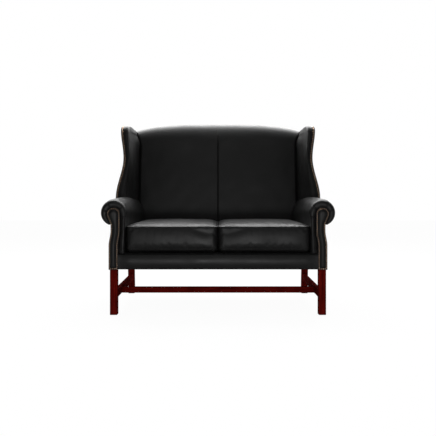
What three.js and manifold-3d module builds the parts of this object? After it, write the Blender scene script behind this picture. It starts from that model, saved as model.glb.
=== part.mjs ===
// High back wing settee for two: a hardwood frame on square legs with an H stretcher, sprung seat,
// leather upholstery with scroll arms and nailed facings, and two loose seat cushions.
// Millimetres, +Z up, +X to the right of someone facing the settee, the front towards -Y.
// While it is being built, y is the setback behind the frontmost leather; the last lines centre it.
import * as THREE from "three";
import { mergeVertices } from "three/addons/utils/BufferGeometryUtils.js";
import Module from "manifold-3d";

const wasm = await Module();
wasm.setup();

// Driving dimensions: the outside of the settee
const bodyHalfWidth = 610; // centre to the outside arm leather, at the foot of the arm
const legHeight = 258; // floor to the underside of the rails
const seatDepth = 552; // frontmost leather to the inside back, at the deck
const backDepth = 139; // inside back to outside back, low down
const backLean = 0.1853; // setback gained per unit of height by the inside back
const rearLean = 0.1228; // the same gain for the outside back
const armHeight = 642; // floor to the top of the scroll, at the front
const crestHeight = 1144; // floor to the middle of the camel back
const crestDrop = 45; // how much lower the camel back is where it meets the wings
const crestPowerShare = 3.5; // how late the camel back starts to fall

// Clearances
const fit = 0.3; // between pieces that touch
const glideGap = 1; // beside a loose cushion, so that it lifts out
const overrun = 5; // how far a cutter runs past the face it cuts

// Legs and stretchers
const legSize = 41;
const legInset = 7; // outer leather to the outer face of a leg
const legSetback = 12;
const legChamfer = 2;
const rearLegGap = 1; // rear leg to the outside back
const rearLegRake = 32; // how far the foot stands behind the top of the raked part
const stretcherBottom = 92;
const sideStretcherHeight = 42;
const sideStretcherWidth = 25;
const stretcherInset = 3; // inner face of a leg to the inner face of its side stretcher
const crossStretcherHeight = 34;
const crossStretcherWidth = 25;
const crossStretcherSetback = 190;
const stretcherShoulder = 6; // round a stretcher's tenon
const stretcherTenon = 14; // length

// Seat frame
const railHeight = 75;
const railThickness = 28;
const railSetback = 2; // front face of a leg to the front rail's face
const railShoulder = 10; // below a rail's tenon
const railTopShoulder = 20; // above it, clear of a post's tenon
const railCheek = 8; // beside a rail's tenon
const railTenon = 19; // length
const postTenonDepth = 14;
const blockLeg = 65; // how far a corner block runs along each rail
const blockHeight = 45;
const centreRailThickness = 30;
const centreRailHeight = 60;
const centreTenon = 12;

// Seat springs and deck
const wire = 3.6;
const springsPerSeat = 4;
const springWaves = 9; // half waves in each spring
const springSwing = 26; // half the width of a spring
const springLanding = 16; // how far each end lies on its rail
const tieInset = 140; // rail to the nearer cross tie
const deckThickness = 8;
const borderPad = 10; // thickness of the front border
const borderLip = 12; // how far the front border turns over the rail
const borderCrown = 10; // height of the front border above the rail
const borderDrop = 2; // how far it hangs below the rail

// Back frame
const backFrame = 40; // thickness of the frame, front to back
const backPanel = 5; // thickness of the outside back
const postWidth = 40;
const postTopDrop = 99; // crest to the top of a post
const crestPad = 30; // padding over the top rail
const crestGap = 3; // between that padding and the rail or the outside back
const topRailHeight = 70;
const lowerRailHeight = 50;
const lowerRailRise = 62; // deck to the lower rail
const uprightWidth = 44;
const webWidth = 50;
const webThickness = 2;
const uprightTenon = 12;

// Back cushioning
const backInset = 84; // outside arm to the side of the inside back
const backFlare = 30; // how much wider the back is at the crest
const backCrown = 18; // swell of the inside back
const crestRound = 52; // radius of its top front edge
const backEdgeRound = 20; // how far its side edges fall back
const seamDepth = 5; // pull of the centre seam
const seamSpread = 16; // half the width of the pull

// Arms
const armThickness = 91.5; // outside arm to inside arm, at the front
const armSplay = 31; // how much closer together the arms are at the back
const rollInset = 27.5; // outside arm to the middle of the scroll
const rollRadius = 72;
const rollRise = 4; // how much the scroll climbs and grows towards the back
const rollGrow = 4;
const rollEndAngle = -69; // degrees, where the scroll meets the outside arm
const armBoardHalfWidth = 33;
const armBoardThickness = 30;
const armBoardRise = 30.4; // middle of the scroll to the top of the board
const armBorderDepth = 22; // of the rolled border round a facing
const armBorderRound = 3; // how far its outer edge falls back
const armBorderTuck = 1.5; // how far it is cut back to fit the facing
const armSkin = 5; // thickness of the outside arm
const stumpThickness = 30;
const stumpMargin = 4; // facing's edge to the stump's edge

// Arm facings
const facingWidth = 52; // across the neck
const facingHeadInset = 27.4; // outside arm to the middle of its head
const facingHeadDrop = 6.5; // middle of the scroll to the middle of its head
const facingHeadRadius = 37;
const facingJoinAngle = -28; // degrees, where the head runs into the neck
const facingNeckShare = 0.7257; // top of the neck, from the rails to the scroll's middle
const facingDrop = 5; // how far it hangs below the rails
const facingFront = 4; // setback of its flat margin
const facingBevel = 1; // round its rim
const facingDome = 3; // swell of its middle
const facingDomeRun = 6; // how far in the swell takes to rise
const facingMargin = 13;
const facingEdge = 1; // facing's edge inside the outside arm's leather
const ogeeShift = 11; // sideways shift of the facing and outside arm
const ogeeFootShare = 0.232; // where that shift starts and ends, from the rails to the scroll's middle
const ogeeHeadShare = 0.578;

// Wings
const wingProud = 3; // outside wing beyond the outside arm
const wingSkin = 4; // outside wing with the gap behind it
const wingSkinGap = 1;
const wingBoardThickness = 22;
const wingFootSetback = 345;
const wingSink = 22; // how far its foot starts below the top of the scroll
const wingTopDrop = 42; // crest to the top of the ear
const wingRearGap = 6.4; // wing's rear edge to the outside back
const wingBoardInset = 12; // wing's edge to the board's edge
const wingEdgeStrip = 12; // flat strip for the nails
const wingEdgeThickness = 50; // of the padded edge
const wingEdgeSwell = 8;
const wingSideSwell = 10;
const wingTuck = 10; // how far the pad runs behind the face of the back
const wingShoulder = 17; // how far it falls from its top edge to the back's shoulder
const wingRearEase = 6; // its rear end, in front of the edge's end
const wingFootFlare = 17; // how far the wing is bent out at its foot, in at its waist, and out again above
const wingWaistDraw = 22;
const wingEarFlare = 20;
const wingFlareShare = 0.083; // up the wing, to where the bend starts to turn in, to the waist, and to its end
const wingWaistShare = 0.5643;
const wingEarShare = 0.9647;
const wingBendFront = 420; // setbacks between which the bend fades
const wingBendRear = 640;
const wingBendStep = 40; // longest edge of a bent piece's mesh

// Nails
const nailPitch = 11.1;
const nailWidth = 9.6;
const nailHeight = 3;
const nailNeckWidth = 3;
const nailNeckHeight = 1;
const nailInset = 6;
const nailLift = 0.8; // a nail strip's height over the leather it follows

// Seat cushions
const cushionFront = 8; // setback
const cushionBackGap = 3;
const cushionSeamLow = 22; // underside to the lower seam
const cushionSeamHigh = 142; // underside to the upper seam
const cushionCrown = 20;
const cushionCorner = 26; // corner radius
const cushionDraw = 5; // how far its sides are drawn in
const cushionBulge = 4; // swell of the boxing
const coverWall = 14; // cover with its fibre wrap
const zipInset = 34; // side of the cushion to the end of the zip
const zipHeight = 12;
const zipRise = 60; // underside to the zip
const zipThickness = 3;
const slotDepth = 40; // through the cover's wall at the zip
const coreShare = 0.3; // the core's flat top, drawn in by this share of half the seat
const coreRise = 0.8; // how much of the cover's crown the core follows

const materials = {
  wood: new THREE.MeshStandardMaterial({ color: 0x3c0a06, roughness: 0.32, metalness: 0 }),
  beech: new THREE.MeshStandardMaterial({ color: 0xb98e5c, roughness: 0.7, metalness: 0 }),
  leather: new THREE.MeshStandardMaterial({ color: 0x0d0d0d, roughness: 0.42, metalness: 0 }),
  nail: new THREE.MeshStandardMaterial({ color: 0x8a6238, roughness: 0.4, metalness: 1 }),
  steel: new THREE.MeshStandardMaterial({ color: 0x7c7f83, roughness: 0.4, metalness: 1 }),
  cloth: new THREE.MeshStandardMaterial({ color: 0x141414, roughness: 0.95, metalness: 0 }),
  webbing: new THREE.MeshStandardMaterial({ color: 0x6b5a42, roughness: 0.95, metalness: 0 }),
  foam: new THREE.MeshStandardMaterial({ color: 0xd8d2b8, roughness: 0.95, metalness: 0 }),
};

// Places that several pieces share
const rearSetback = seatDepth + backDepth;
const backHalfWidth = bodyHalfWidth - backInset;
const seatHalfWidth = bodyHalfWidth - armThickness;
const rollX = bodyHalfWidth - rollInset;
const rollZ = armHeight - rollRadius;
const armBoardTop = rollZ + armBoardRise;
const facingHeadX = bodyHalfWidth - facingHeadInset;
const facingHeadZ = rollZ - facingHeadDrop;
const wingHalfWidth = bodyHalfWidth + wingProud;
const wingFootHeight = armHeight - wingSink;
const wingHeight = crestHeight - wingTopDrop - wingFootHeight;
const legOuter = bodyHalfWidth - legInset;
const legInner = legOuter - legSize;
const railTop = legHeight + railHeight;
const facingNeckZ = THREE.MathUtils.lerp(railTop, rollZ, facingNeckShare);
const ogeeLow = THREE.MathUtils.lerp(railTop, rollZ, ogeeFootShare);
const ogeeHigh = THREE.MathUtils.lerp(railTop, rollZ, ogeeHeadShare);
const frontRailFace = legSetback + railSetback;
const frontRailBack = frontRailFace + railThickness;
const sideRailOuter = bodyHalfWidth - armSkin - fit;
const sideRailInner = sideRailOuter - railThickness;
const rearLegFace = rearSetback - backPanel - rearLegGap - legSize;
const rearFootSetback = rearLegFace + rearLegRake;
const rearRailFace = rearLegFace + (legSize - railThickness) / 2;
const springBase = railTop + fit;
const deckTop = springBase + wire + fit + deckThickness;
const softBase = deckTop + fit;
const rearPlane = (z) => rearSetback + (z - legHeight) * rearLean;
const frameRear = (z) => rearPlane(z) - backPanel - fit;
const frameFace = (z) => frameRear(z) - backFrame;
const padBack = (z) => frameFace(z) - webThickness - fit * 2;
const facingBack = legSetback - fit;
const wingDepth = frameRear(wingFootHeight + wingHeight) - wingRearGap - wingFootSetback;
const rearLegFront = (z) => rearFootSetback - rearLegRake * Math.min(1, z / legHeight);
const crestHalfWidth = backHalfWidth + backFlare;
const crest = (x) => crestHeight - crestDrop * (Math.abs(x) / crestHalfWidth) ** crestPowerShare;
const smooth = (from, to, v) => THREE.MathUtils.smoothstep(v, from, to);
const ogee = (z) => ogeeShift * smooth(ogeeLow, ogeeHigh, z);
const radians = THREE.MathUtils.degToRad;

// A geometry as a solid that can be cut and joined, and back again
function toSolid(geometry) {
  const bare = geometry.clone();
  bare.deleteAttribute("normal");
  bare.deleteAttribute("uv");
  const merged = mergeVertices(bare, 1e-4);
  return new wasm.Manifold(
    new wasm.Mesh({
      numProp: 3,
      vertProperties: merged.attributes.position.array,
      triVerts: new Uint32Array(merged.index.array),
    }),
  );
}

function toGeometry(solid) {
  const mesh = solid.getMesh();
  const geometry = new THREE.BufferGeometry();
  geometry.setAttribute("position", new THREE.BufferAttribute(mesh.vertProperties, mesh.numProp));
  geometry.setIndex(new THREE.BufferAttribute(mesh.triVerts, 1));
  return geometry;
}

const cut = (geometry, ...cutters) =>
  toGeometry(cutters.reduce((solid, c) => solid.subtract(toSolid(c)), toSolid(geometry)));
const join = (geometry, ...others) =>
  toGeometry(others.reduce((solid, o) => solid.add(toSolid(o)), toSolid(geometry)));

// Six times the signed volume of a closed mesh
function signedVolume(points, faces) {
  return faces.reduce(
    (sum, [a, b, c]) => sum + points[a].dot(new THREE.Vector3().crossVectors(points[b], points[c])),
    0,
  );
}

// A solid through a row of loops, each a closed ring of Vector3; its ends are capped unless it runs
// round and meets itself
function loft(loops, runsRound = false) {
  const count = loops[0].length;
  const points = loops.flat();
  const faces = [];
  const spans = runsRound ? loops.length : loops.length - 1;
  for (let i = 0; i < spans; i++) {
    for (let j = 0; j < count; j++) {
      const a = i * count + j;
      const b = i * count + ((j + 1) % count);
      const next = ((i + 1) % loops.length) * count;
      const c = next + ((j + 1) % count);
      const d = next + j;
      faces.push([a, b, c], [a, c, d]);
    }
  }
  if (!runsRound) {
    for (const end of [0, loops.length - 1]) {
      const turned = end > 0;
      for (const [a, b, c] of capFaces(loops[end])) {
        const base = end * count;
        faces.push(turned ? [base + a, base + b, base + c] : [base + c, base + b, base + a]);
      }
    }
  }
  const inside = signedVolume(points, faces) < 0;
  const geometry = new THREE.BufferGeometry().setFromPoints(points);
  geometry.setIndex(faces.flatMap(([a, b, c]) => (inside ? [a, c, b] : [a, b, c])));
  return geometry;
}

// Triangles across a flat loop, turned the way that the loop runs
function capFaces(loop) {
  const normal = new THREE.Vector3();
  loop.forEach((p, i) => normal.add(new THREE.Vector3().crossVectors(p, loop[(i + 1) % loop.length])));
  normal.normalize();
  const across = new THREE.Vector3(normal.z, normal.x, normal.y).cross(normal).normalize();
  const up = new THREE.Vector3().crossVectors(normal, across);
  const flat = loop.map((p) => new THREE.Vector2(p.dot(across), p.dot(up)));
  return THREE.ShapeUtils.triangulateShape(flat, []).map(([a, b, c]) => {
    const turn = new THREE.Vector2().subVectors(flat[b], flat[a]).cross(
      new THREE.Vector2().subVectors(flat[c], flat[a]));
    return turn > 0 ? [a, b, c] : [a, c, b];
  });
}

function box(x0, x1, y0, y1, z0, z1) {
  const geometry = new THREE.BoxGeometry(x1 - x0, y1 - y0, z1 - z0);
  return geometry.translate((x0 + x1) / 2, (y0 + y1) / 2, (z0 + z1) / 2);
}

const [alongX, alongY, alongZ] = [[1, 0, 0], [0, 1, 0], [0, 0, 1]].map((v) => new THREE.Vector3(...v));

// An outline extruded from where it is drawn, with its two axes and its depth laid along the three given
function prism(outline, depth, ...axes) {
  const shape = new THREE.Shape(outline.map((point) => new THREE.Vector2(...point)));
  const geometry = new THREE.ExtrudeGeometry(shape, { depth, bevelEnabled: false });
  return geometry.applyMatrix4(new THREE.Matrix4().makeBasis(...axes));
}

// An outline drawn in plan (x, y), from the side (y, z) or across the front (x, z), given a thickness
const planPrism = (outline, z0, z1) =>
  prism(outline, z1 - z0, alongX, alongY, alongZ).translate(0, 0, z0);
const sidePrism = (outline, x0, x1) =>
  prism(outline, x1 - x0, alongY, alongZ, alongX).translate(x0, 0, 0);
const acrossPrism = (outline, y0, y1) =>
  prism(outline, y1 - y0, alongX, alongZ, alongY.clone().negate()).translate(0, y1, 0);

const settee = new THREE.Group();

function add(name, geometry, material) {
  const mesh = new THREE.Mesh(geometry, material);
  mesh.name = name;
  settee.add(mesh);
  return mesh;
}

// A piece modelled on the +x side, and its mirror image
function addPair(name, geometry, material) {
  add(name + "_right", geometry, material);
  add(name + "_left", geometry, material).scale.x = -1;
}

// Square legs, the rear ones raked, mortised for the rails and the stretchers
function addLegsAndStretchers() {
  const sideInner = legInner + stretcherInset;
  const sideOuter = sideInner + sideStretcherWidth;
  const sideTop = stretcherBottom + sideStretcherHeight;
  const legBack = legSetback + legSize;
  const tenonBox = (gap) =>
    box(
      sideInner + stretcherShoulder - gap, sideOuter - stretcherShoulder + gap,
      legBack - stretcherTenon - gap, rearLegFront(sideTop) + stretcherTenon + gap,
      stretcherBottom + stretcherShoulder - gap, sideTop - stretcherShoulder + gap,
    );
  const crossTenonBox = (gap) =>
    box(
      -(sideInner + stretcherTenon + gap), sideInner + stretcherTenon + gap,
      crossStretcherSetback + stretcherShoulder - gap,
      crossStretcherSetback + crossStretcherWidth - stretcherShoulder + gap,
      stretcherBottom + stretcherShoulder - gap,
      stretcherBottom + crossStretcherHeight - stretcherShoulder + gap,
    );

  const [a, b, c] = [legInner, legOuter, legChamfer];
  const frontPlan = [
    [a + c, legSetback], [b - c, legSetback], [b, legSetback + c], [b, legBack - c],
    [b - c, legBack], [a + c, legBack], [a, legBack - c], [a, legSetback + c],
  ];
  const frontLeg = planPrism(frontPlan, 0, railTop);
  addPair("front_leg",
    cut(frontLeg, tenonBox(fit), frontTenon(fit), sideTenon(fit)), materials.wood);

  const rearLeg = sidePrism([
    [rearFootSetback, 0], [rearFootSetback + legSize, 0], [rearLegFace + legSize, legHeight],
    [rearLegFace + legSize, railTop], [rearLegFace, railTop], [rearLegFace, legHeight],
  ], legInner, legOuter);
  addPair("rear_leg",
    cut(rearLeg, tenonBox(fit), rearTenon(fit), sideTenon(fit), postTenon(fit)), materials.wood);

  const sideBody = sidePrism([
    [legBack + fit, stretcherBottom], [rearLegFront(stretcherBottom) - fit, stretcherBottom],
    [rearLegFront(sideTop) - fit, sideTop], [legBack + fit, sideTop],
  ], sideInner, sideOuter);
  addPair("side_stretcher", cut(join(sideBody, tenonBox(0)), crossTenonBox(fit)), materials.wood);

  const crossBody = box(
    -(sideInner - fit), sideInner - fit,
    crossStretcherSetback, crossStretcherSetback + crossStretcherWidth,
    stretcherBottom, stretcherBottom + crossStretcherHeight,
  );
  add("cross_stretcher", join(crossBody, crossTenonBox(0)), materials.wood);
}

// Tenons of the seat rails and of the back posts; a gap makes the mortise that takes one
const frontTenon = (gap) =>
  box(
    -(legInner + railTenon + gap), legInner + railTenon + gap,
    frontRailFace + railCheek - gap, frontRailBack - railCheek + gap,
    legHeight + railShoulder - gap, railTop - railTopShoulder + gap,
  );
const rearTenon = (gap) =>
  box(
    -(legInner + railTenon + gap), legInner + railTenon + gap,
    rearRailFace + railCheek - gap, rearRailFace + railThickness - railCheek + gap,
    legHeight + railShoulder - gap, railTop - railTopShoulder + gap,
  );
const sideTenon = (gap) =>
  box(
    sideRailInner + railCheek - gap, legOuter - railCheek + gap,
    legSetback + legSize - railTenon - gap, rearLegFace + railTenon / 2 + gap,
    legHeight + railShoulder - gap, railTop - railTopShoulder + gap,
  );
const postOuter = wingHalfWidth - wingSkin - fit - wingBoardThickness - fit;
const postInner = postOuter - postWidth;
const postTenon = (gap) => {
  const middle = (frameFace(railTop) + frameRear(railTop)) / 2;
  return box(
    legInner + railShoulder - gap, postOuter - railCheek / 2 + gap,
    middle - railCheek - gap, middle + railCheek + gap,
    railTop - postTenonDepth - gap, railTop + overrun + gap,
  );
};

// Beech seat rails tenoned into the legs, a centre rail, and blocks glued in the corners
function addSeatFrame() {
  const frontBody = box(
    -(legInner - fit), legInner - fit, frontRailFace, frontRailBack, legHeight, railTop);
  const rearBody = box(
    -(legInner - fit), legInner - fit,
    rearRailFace, rearRailFace + railThickness, legHeight, railTop);
  const centreTop = railTop - (railHeight - centreRailHeight) / 2;
  const centreBottom = centreTop - centreRailHeight;
  const half = centreRailThickness / 2;
  const centreTenonBox = (gap) =>
    box(
      -(half - railCheek / 2) - gap, half - railCheek / 2 + gap,
      frontRailBack - centreTenon - gap, rearRailFace + centreTenon + gap,
      centreBottom + railShoulder - gap, centreTop - railShoulder + gap,
    );
  add("front_rail", cut(join(frontBody, frontTenon(0)), centreTenonBox(fit)), materials.beech);
  add("rear_rail", cut(join(rearBody, rearTenon(0)), centreTenonBox(fit)), materials.beech);
  const centreBody = box(
    -half, half, frontRailBack + fit, rearRailFace - fit, centreBottom, centreTop);
  add("centre_rail", join(centreBody, centreTenonBox(0)), materials.beech);

  const sideBody = box(
    sideRailInner, sideRailOuter, legSetback + legSize + fit, rearLegFace - fit,
    legHeight, railTop);
  addPair("side_rail", join(sideBody, sideTenon(0)), materials.beech);

  const blockBase = legHeight + (railHeight - blockHeight) / 2;
  const blockAt = (corner, railEdge, way) =>
    planPrism([
      [sideRailInner - fit, corner + way * fit],
      [sideRailInner - fit, corner + way * blockLeg],
      [legInner - blockLeg, railEdge + way * fit],
      [legInner - fit, railEdge + way * fit],
      [legInner - fit, corner + way * fit],
    ], blockBase, blockBase + blockHeight);
  addPair("corner_block_front", blockAt(legSetback + legSize, frontRailBack, 1), materials.beech);
  addPair("corner_block_rear", blockAt(rearLegFace, rearRailFace, -1), materials.beech);
}

// One seat's zigzag springs, tied across by two straight wires, lying on the front and rear rails
function addSprings() {
  const from = frontRailBack - springLanding;
  const to = rearRailFace + springLanding;
  const pitch = (sideRailInner - centreRailThickness) / springsPerSeat;
  const wave = (to - from) / springWaves;
  const cornerShare = 0.25;
  const springAt = (middle) => {
    const line = [];
    for (let i = 0; i < springWaves; i++) {
      const side = i % 2 ? 1 : -1;
      line.push([middle + side * springSwing, from + wave * (i + cornerShare)]);
      line.push([middle + side * springSwing, from + wave * (i + 1 - cornerShare)]);
    }
    return planPrism(ribbon(line, wire), springBase, springBase + wire);
  };
  const middles = Array.from({ length: springsPerSeat },
    (_, i) => centreRailThickness + pitch * (i + 0.5));
  const tieAt = (y) =>
    box(
      middles[0] - springSwing, middles.at(-1) + springSwing,
      y - wire / 2, y + wire / 2, springBase, springBase + wire,
    );
  const ties = [tieAt(from + tieInset), tieAt(to - tieInset)];
  const [first, ...rest] = middles.map(springAt);
  addPair("seat_springs", join(first, ...rest, ...ties), materials.steel);
}

// The outline of a wire of that width along a bent line in plan
function ribbon(line, width) {
  const offset = (side) =>
    line.map(([x, y], i) => {
      const before = line[Math.max(0, i - 1)];
      const after = line[Math.min(line.length - 1, i + 1)];
      const run = new THREE.Vector2(after[0] - before[0], after[1] - before[1]).normalize();
      return [x - (side * run.y * width) / 2, y + (side * run.x * width) / 2];
    });
  return [...offset(1), ...offset(-1).reverse()];
}

// The sprung deck under the cushions, the padded leather over the front rail, and the dust cover
function addSeatUpholstery() {
  const armFoot = rollX - armBoardHalfWidth - fit;
  const lipEnd = frontRailFace + borderLip;
  const deckRear = rearRailFace + railThickness;
  const notch = postInner - fit;
  const notchFace = frameFace(springBase) - fit;
  add("seat_deck", planPrism([
    [-armFoot, lipEnd + fit], [armFoot, lipEnd + fit], [armFoot, notchFace], [notch, notchFace],
    [notch, deckRear], [-notch, deckRear], [-notch, notchFace], [-armFoot, notchFace],
  ], deckTop - deckThickness, deckTop), materials.cloth);

  const face = frontRailFace - fit;
  const front = face - borderPad;
  const top = railTop + borderCrown;
  const bottom = legHeight - borderDrop;
  const bevel = borderPad / 2;
  const half = facingInnerEdge(legHeight) - fit;
  add("front_border", sidePrism([
    [face, bottom], [front + bevel, bottom], [front, bottom + bevel], [front, top - borderPad],
    [front + bevel / 2, top - bevel], [front + bevel * 2, top], [lipEnd, top],
    [lipEnd, railTop + fit], [face, railTop + fit],
  ], -half, half), materials.leather);

  const clothOuter = sideRailOuter - fit;
  const inner = legInner - fit;
  const frontLeg = legSetback + legSize + fit;
  const rearLeg = rearLegFace - fit;
  const clothRear = rearRailFace + railThickness;
  add("dust_cover", planPrism([
    [-inner, frontRailFace], [inner, frontRailFace], [inner, frontLeg], [clothOuter, frontLeg],
    [clothOuter, rearLeg], [inner, rearLeg], [inner, clothRear], [-inner, clothRear],
    [-inner, rearLeg], [-clothOuter, rearLeg], [-clothOuter, frontLeg], [-inner, frontLeg],
  ], legHeight - fit - borderDrop, legHeight - fit), materials.cloth);
}

// Posts, rails and a middle upright, leaning back together, and webbing across their front
function addBackFrame() {
  const leaning = (z0, z1) => [
    [frameFace(z0), z0], [frameRear(z0), z0], [frameRear(z1), z1], [frameFace(z1), z1]];
  const postTop = crestHeight - postTopDrop;
  const post = sidePrism(leaning(railTop + fit, postTop), postInner, postOuter);
  addPair("back_post", join(post, postTenon(0)), materials.beech);

  const half = postInner - fit;
  const lowerBase = deckTop + lowerRailRise;
  const lowerTop = lowerBase + lowerRailHeight;
  const middle = (z) => (frameFace(z) + frameRear(z)) / 2;
  const uprightTop = crestHeight - crestPad - crestGap - topRailHeight - fit;
  const tenonHalf = uprightWidth / 2 - railCheek;
  const uprightTenonBox = (gap) => sidePrism([
    [middle(lowerTop) - railCheek - gap, lowerTop - uprightTenon - gap],
    [middle(lowerTop) + railCheek + gap, lowerTop - uprightTenon - gap],
    [middle(uprightTop) + railCheek + gap, uprightTop + uprightTenon + gap],
    [middle(uprightTop) - railCheek - gap, uprightTop + uprightTenon + gap],
  ], -tenonHalf - gap, tenonHalf + gap);
  const lowerRail = sidePrism(leaning(lowerBase, lowerTop), -half, half);
  add("back_lower_rail", cut(lowerRail, uprightTenonBox(fit)), materials.beech);
  const upright = sidePrism(
    leaning(lowerTop + fit, uprightTop), -uprightWidth / 2, uprightWidth / 2);
  add("back_centre_upright", join(upright, uprightTenonBox(0)), materials.beech);

  const steps = 10;
  const railLoops = Array.from({ length: steps + 1 }, (_, i) => {
    const x = half * ((2 * i) / steps - 1);
    const top = crest(x) - crestPad - crestGap;
    return leaning(top - topRailHeight, top).map(([y, z]) => new THREE.Vector3(x, y, z));
  });
  add("back_top_rail", cut(loft(railLoops), uprightTenonBox(fit)), materials.beech);

  const strap = (z0, z1, x0, x1) => sidePrism([
    [frameFace(z0) - fit - webThickness, z0], [frameFace(z0) - fit, z0],
    [frameFace(z1) - fit, z1], [frameFace(z1) - fit - webThickness, z1],
  ], x0, x1);
  const webTop = crest(half) - crestPad - topRailHeight / 2;
  const rowShares = [0.22, 0.42, 0.62, 0.82];
  const columnShares = [-0.68, -0.36, 0, 0.36, 0.68];
  const rows = rowShares.map((share) => {
    const z = THREE.MathUtils.lerp(lowerBase, webTop, share);
    const reach = postInner + webWidth / 2;
    return strap(z - webWidth / 2, z + webWidth / 2, -reach, reach);
  });
  const columns = columnShares.map((share) => strap(
    lowerBase + fit, webTop, half * share - webWidth / 2, half * share + webWidth / 2));
  const [first, ...rest] = [...rows, ...columns];
  add("back_webbing", join(first, ...rest), materials.webbing);
}

// Setback of the inside back's face, before its edges fall away
function backFace(z) {
  const share = THREE.MathUtils.clamp((z - deckTop) / (crestHeight - deckTop), 0, 1);
  return seatDepth + (z - deckTop) * backLean - backCrown * Math.sin(Math.PI * share);
}

const backHalfWidthAt = (z) =>
  backHalfWidth + backFlare * smooth(crestHeight - crestDrop * 3.3, crestHeight - crestDrop, z);

// A section of the inside back: up its face, over the crest and down behind the top rail
function backSection(share, grow) {
  const sideX = crestHalfWidth * share;
  const top = crest(sideX) + grow;
  const fromSeam = (crestHalfWidth * share) / seamSpread;
  const fromEdge = ((1 - share) * crestHalfWidth) / (backEdgeRound * 2);
  const fall =
    seamDepth * (1 - smooth(0, 1, fromSeam)) +
    backEdgeRound * (1 - smooth(0, 1, fromEdge)) ** 2 - grow;
  const round = crestRound * (1 - share / 4);
  const faceTop = top - round;
  const heightShares = [0, 0.12, 0.3, 0.5, 0.7, 0.87, 1];
  const face = heightShares.map((s) => {
    const z = THREE.MathUtils.lerp(softBase, faceTop, s);
    return [backFace(z) + fall, z];
  });
  const arcAngles = [30, 60, 90];
  const [lastFace] = face.at(-1);
  const arc = arcAngles.map((a) => [
    lastFace + round * (1 - Math.cos(radians(a))), faceTop + round * Math.sin(radians(a))]);
  const under = top - crestPad - grow * 2;
  const rear = [
    [rearPlane(top) - round / 2, top],
    [rearPlane(top) - backPanel / 2, top - crestPad / 3],
    [rearPlane(under), under],
  ];
  const inner = [[padBack(under) + grow, under], [padBack(softBase) + grow, softBase - grow]];
  const widthAt = (z) => (backHalfWidthAt(z) + grow) * share;
  return [...face, ...arc, ...rear, ...inner].map(
    ([y, z]) => new THREE.Vector3(share === 0 ? fit : Math.max(fit, widthAt(z)), y, z));
}

function insideBack(grow) {
  const acrossShares = [0, 0.016, 0.034, 0.2, 0.4, 0.6, 0.76, 0.88, 0.95, 1];
  return loft(acrossShares.map((share) => backSection(share, grow)));
}

function addBackUpholstery() {
  addPair("inside_back", insideBack(0), materials.leather);
  const steps = 12;
  const half = bodyHalfWidth - facingEdge;
  const camel = crestHalfWidth + fit;
  const wingTop = wingFootHeight + wingHeight * wingEdgeShares.at(-1)[1] - crestGap;
  const tops = Array.from({ length: steps + 1 }, (_, i) => {
    const x = camel * ((2 * i) / steps - 1);
    return [x, crest(x) - crestPad - crestGap];
  });
  const base = legHeight - borderDrop;
  const loops = [
    [-half, wingTop], [-camel - fit, wingTop], ...tops, [camel + fit, wingTop], [half, wingTop],
  ].map(([x, top]) => [
    [rearPlane(base) - backPanel, base], [rearPlane(base), base],
    [rearPlane(top), top], [rearPlane(top) - backPanel, top],
  ].map(([y, z]) => new THREE.Vector3(x, y, z)));
  add("outside_back", loft(loops), materials.leather);
}

// Edges of an arm facing at a height; a head and an ogee neck like a keyhole
function facingInnerEdge(z) {
  return bodyHalfWidth - facingEdge - facingWidth - ogee(z);
}
function facingOuterEdge(z) {
  return bodyHalfWidth - facingEdge - ogee(z);
}

const ogeeSteps = [0, 0.2, 0.4, 0.6, 0.8, 1].map((s) => THREE.MathUtils.lerp(ogeeLow, ogeeHigh, s));
const headPoint = (inset, degrees) => [
  facingHeadX + (facingHeadRadius - inset) * Math.cos(radians(degrees)),
  facingHeadZ + (facingHeadRadius - inset) * Math.sin(radians(degrees)),
];

// The facing's outline, drawn in by an inset: up the outer edge, round the head, down the inner edge
function facingOutline(inset, bottom) {
  const headSteps = 12;
  const head = Array.from({ length: headSteps + 1 }, (_, i) =>
    headPoint(inset, THREE.MathUtils.lerp(facingJoinAngle, 180, i / headSteps)));
  return [
    [facingOuterEdge(bottom) - inset, bottom],
    ...ogeeSteps.map((z) => [facingOuterEdge(z) - inset, z]),
    [facingOuterEdge(facingNeckZ) - inset, facingNeckZ],
    ...head,
    ...[...ogeeSteps].reverse().map((z) => [facingInnerEdge(z) + inset, z]),
    [facingInnerEdge(bottom) + inset, bottom],
  ];
}

const at = (outline, y) => outline.map(([x, z]) => new THREE.Vector3(x, y, z));

function addArmFacings() {
  const bottom = legHeight - facingDrop;
  const domeEdge = facingMargin + facingDomeRun;
  addPair("arm_facing", loft([
    at(facingOutline(0, bottom), facingBack),
    at(facingOutline(0, bottom), facingFront + facingBevel),
    at(facingOutline(facingBevel, bottom + facingBevel), facingFront),
    at(facingOutline(facingMargin, bottom + facingMargin), facingFront),
    at(facingOutline(domeEdge, bottom + domeEdge), facingFront - facingDome),
  ]), materials.leather);

  const stump = facingOutline(stumpMargin, railTop + fit);
  addPair("arm_stump",
    acrossPrism(stump, facingBack + fit, facingBack + fit + stumpThickness), materials.beech);

  const nails = at(facingOutline(nailInset, bottom + nailInset), facingFront - fit);
  const line = new THREE.CatmullRomCurve3(nails, true, "catmullrom", 0);
  addPair("facing_nails",
    nailStrip(line, () => new THREE.Vector3(0, -1, 0), true), materials.nail);
}

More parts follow.
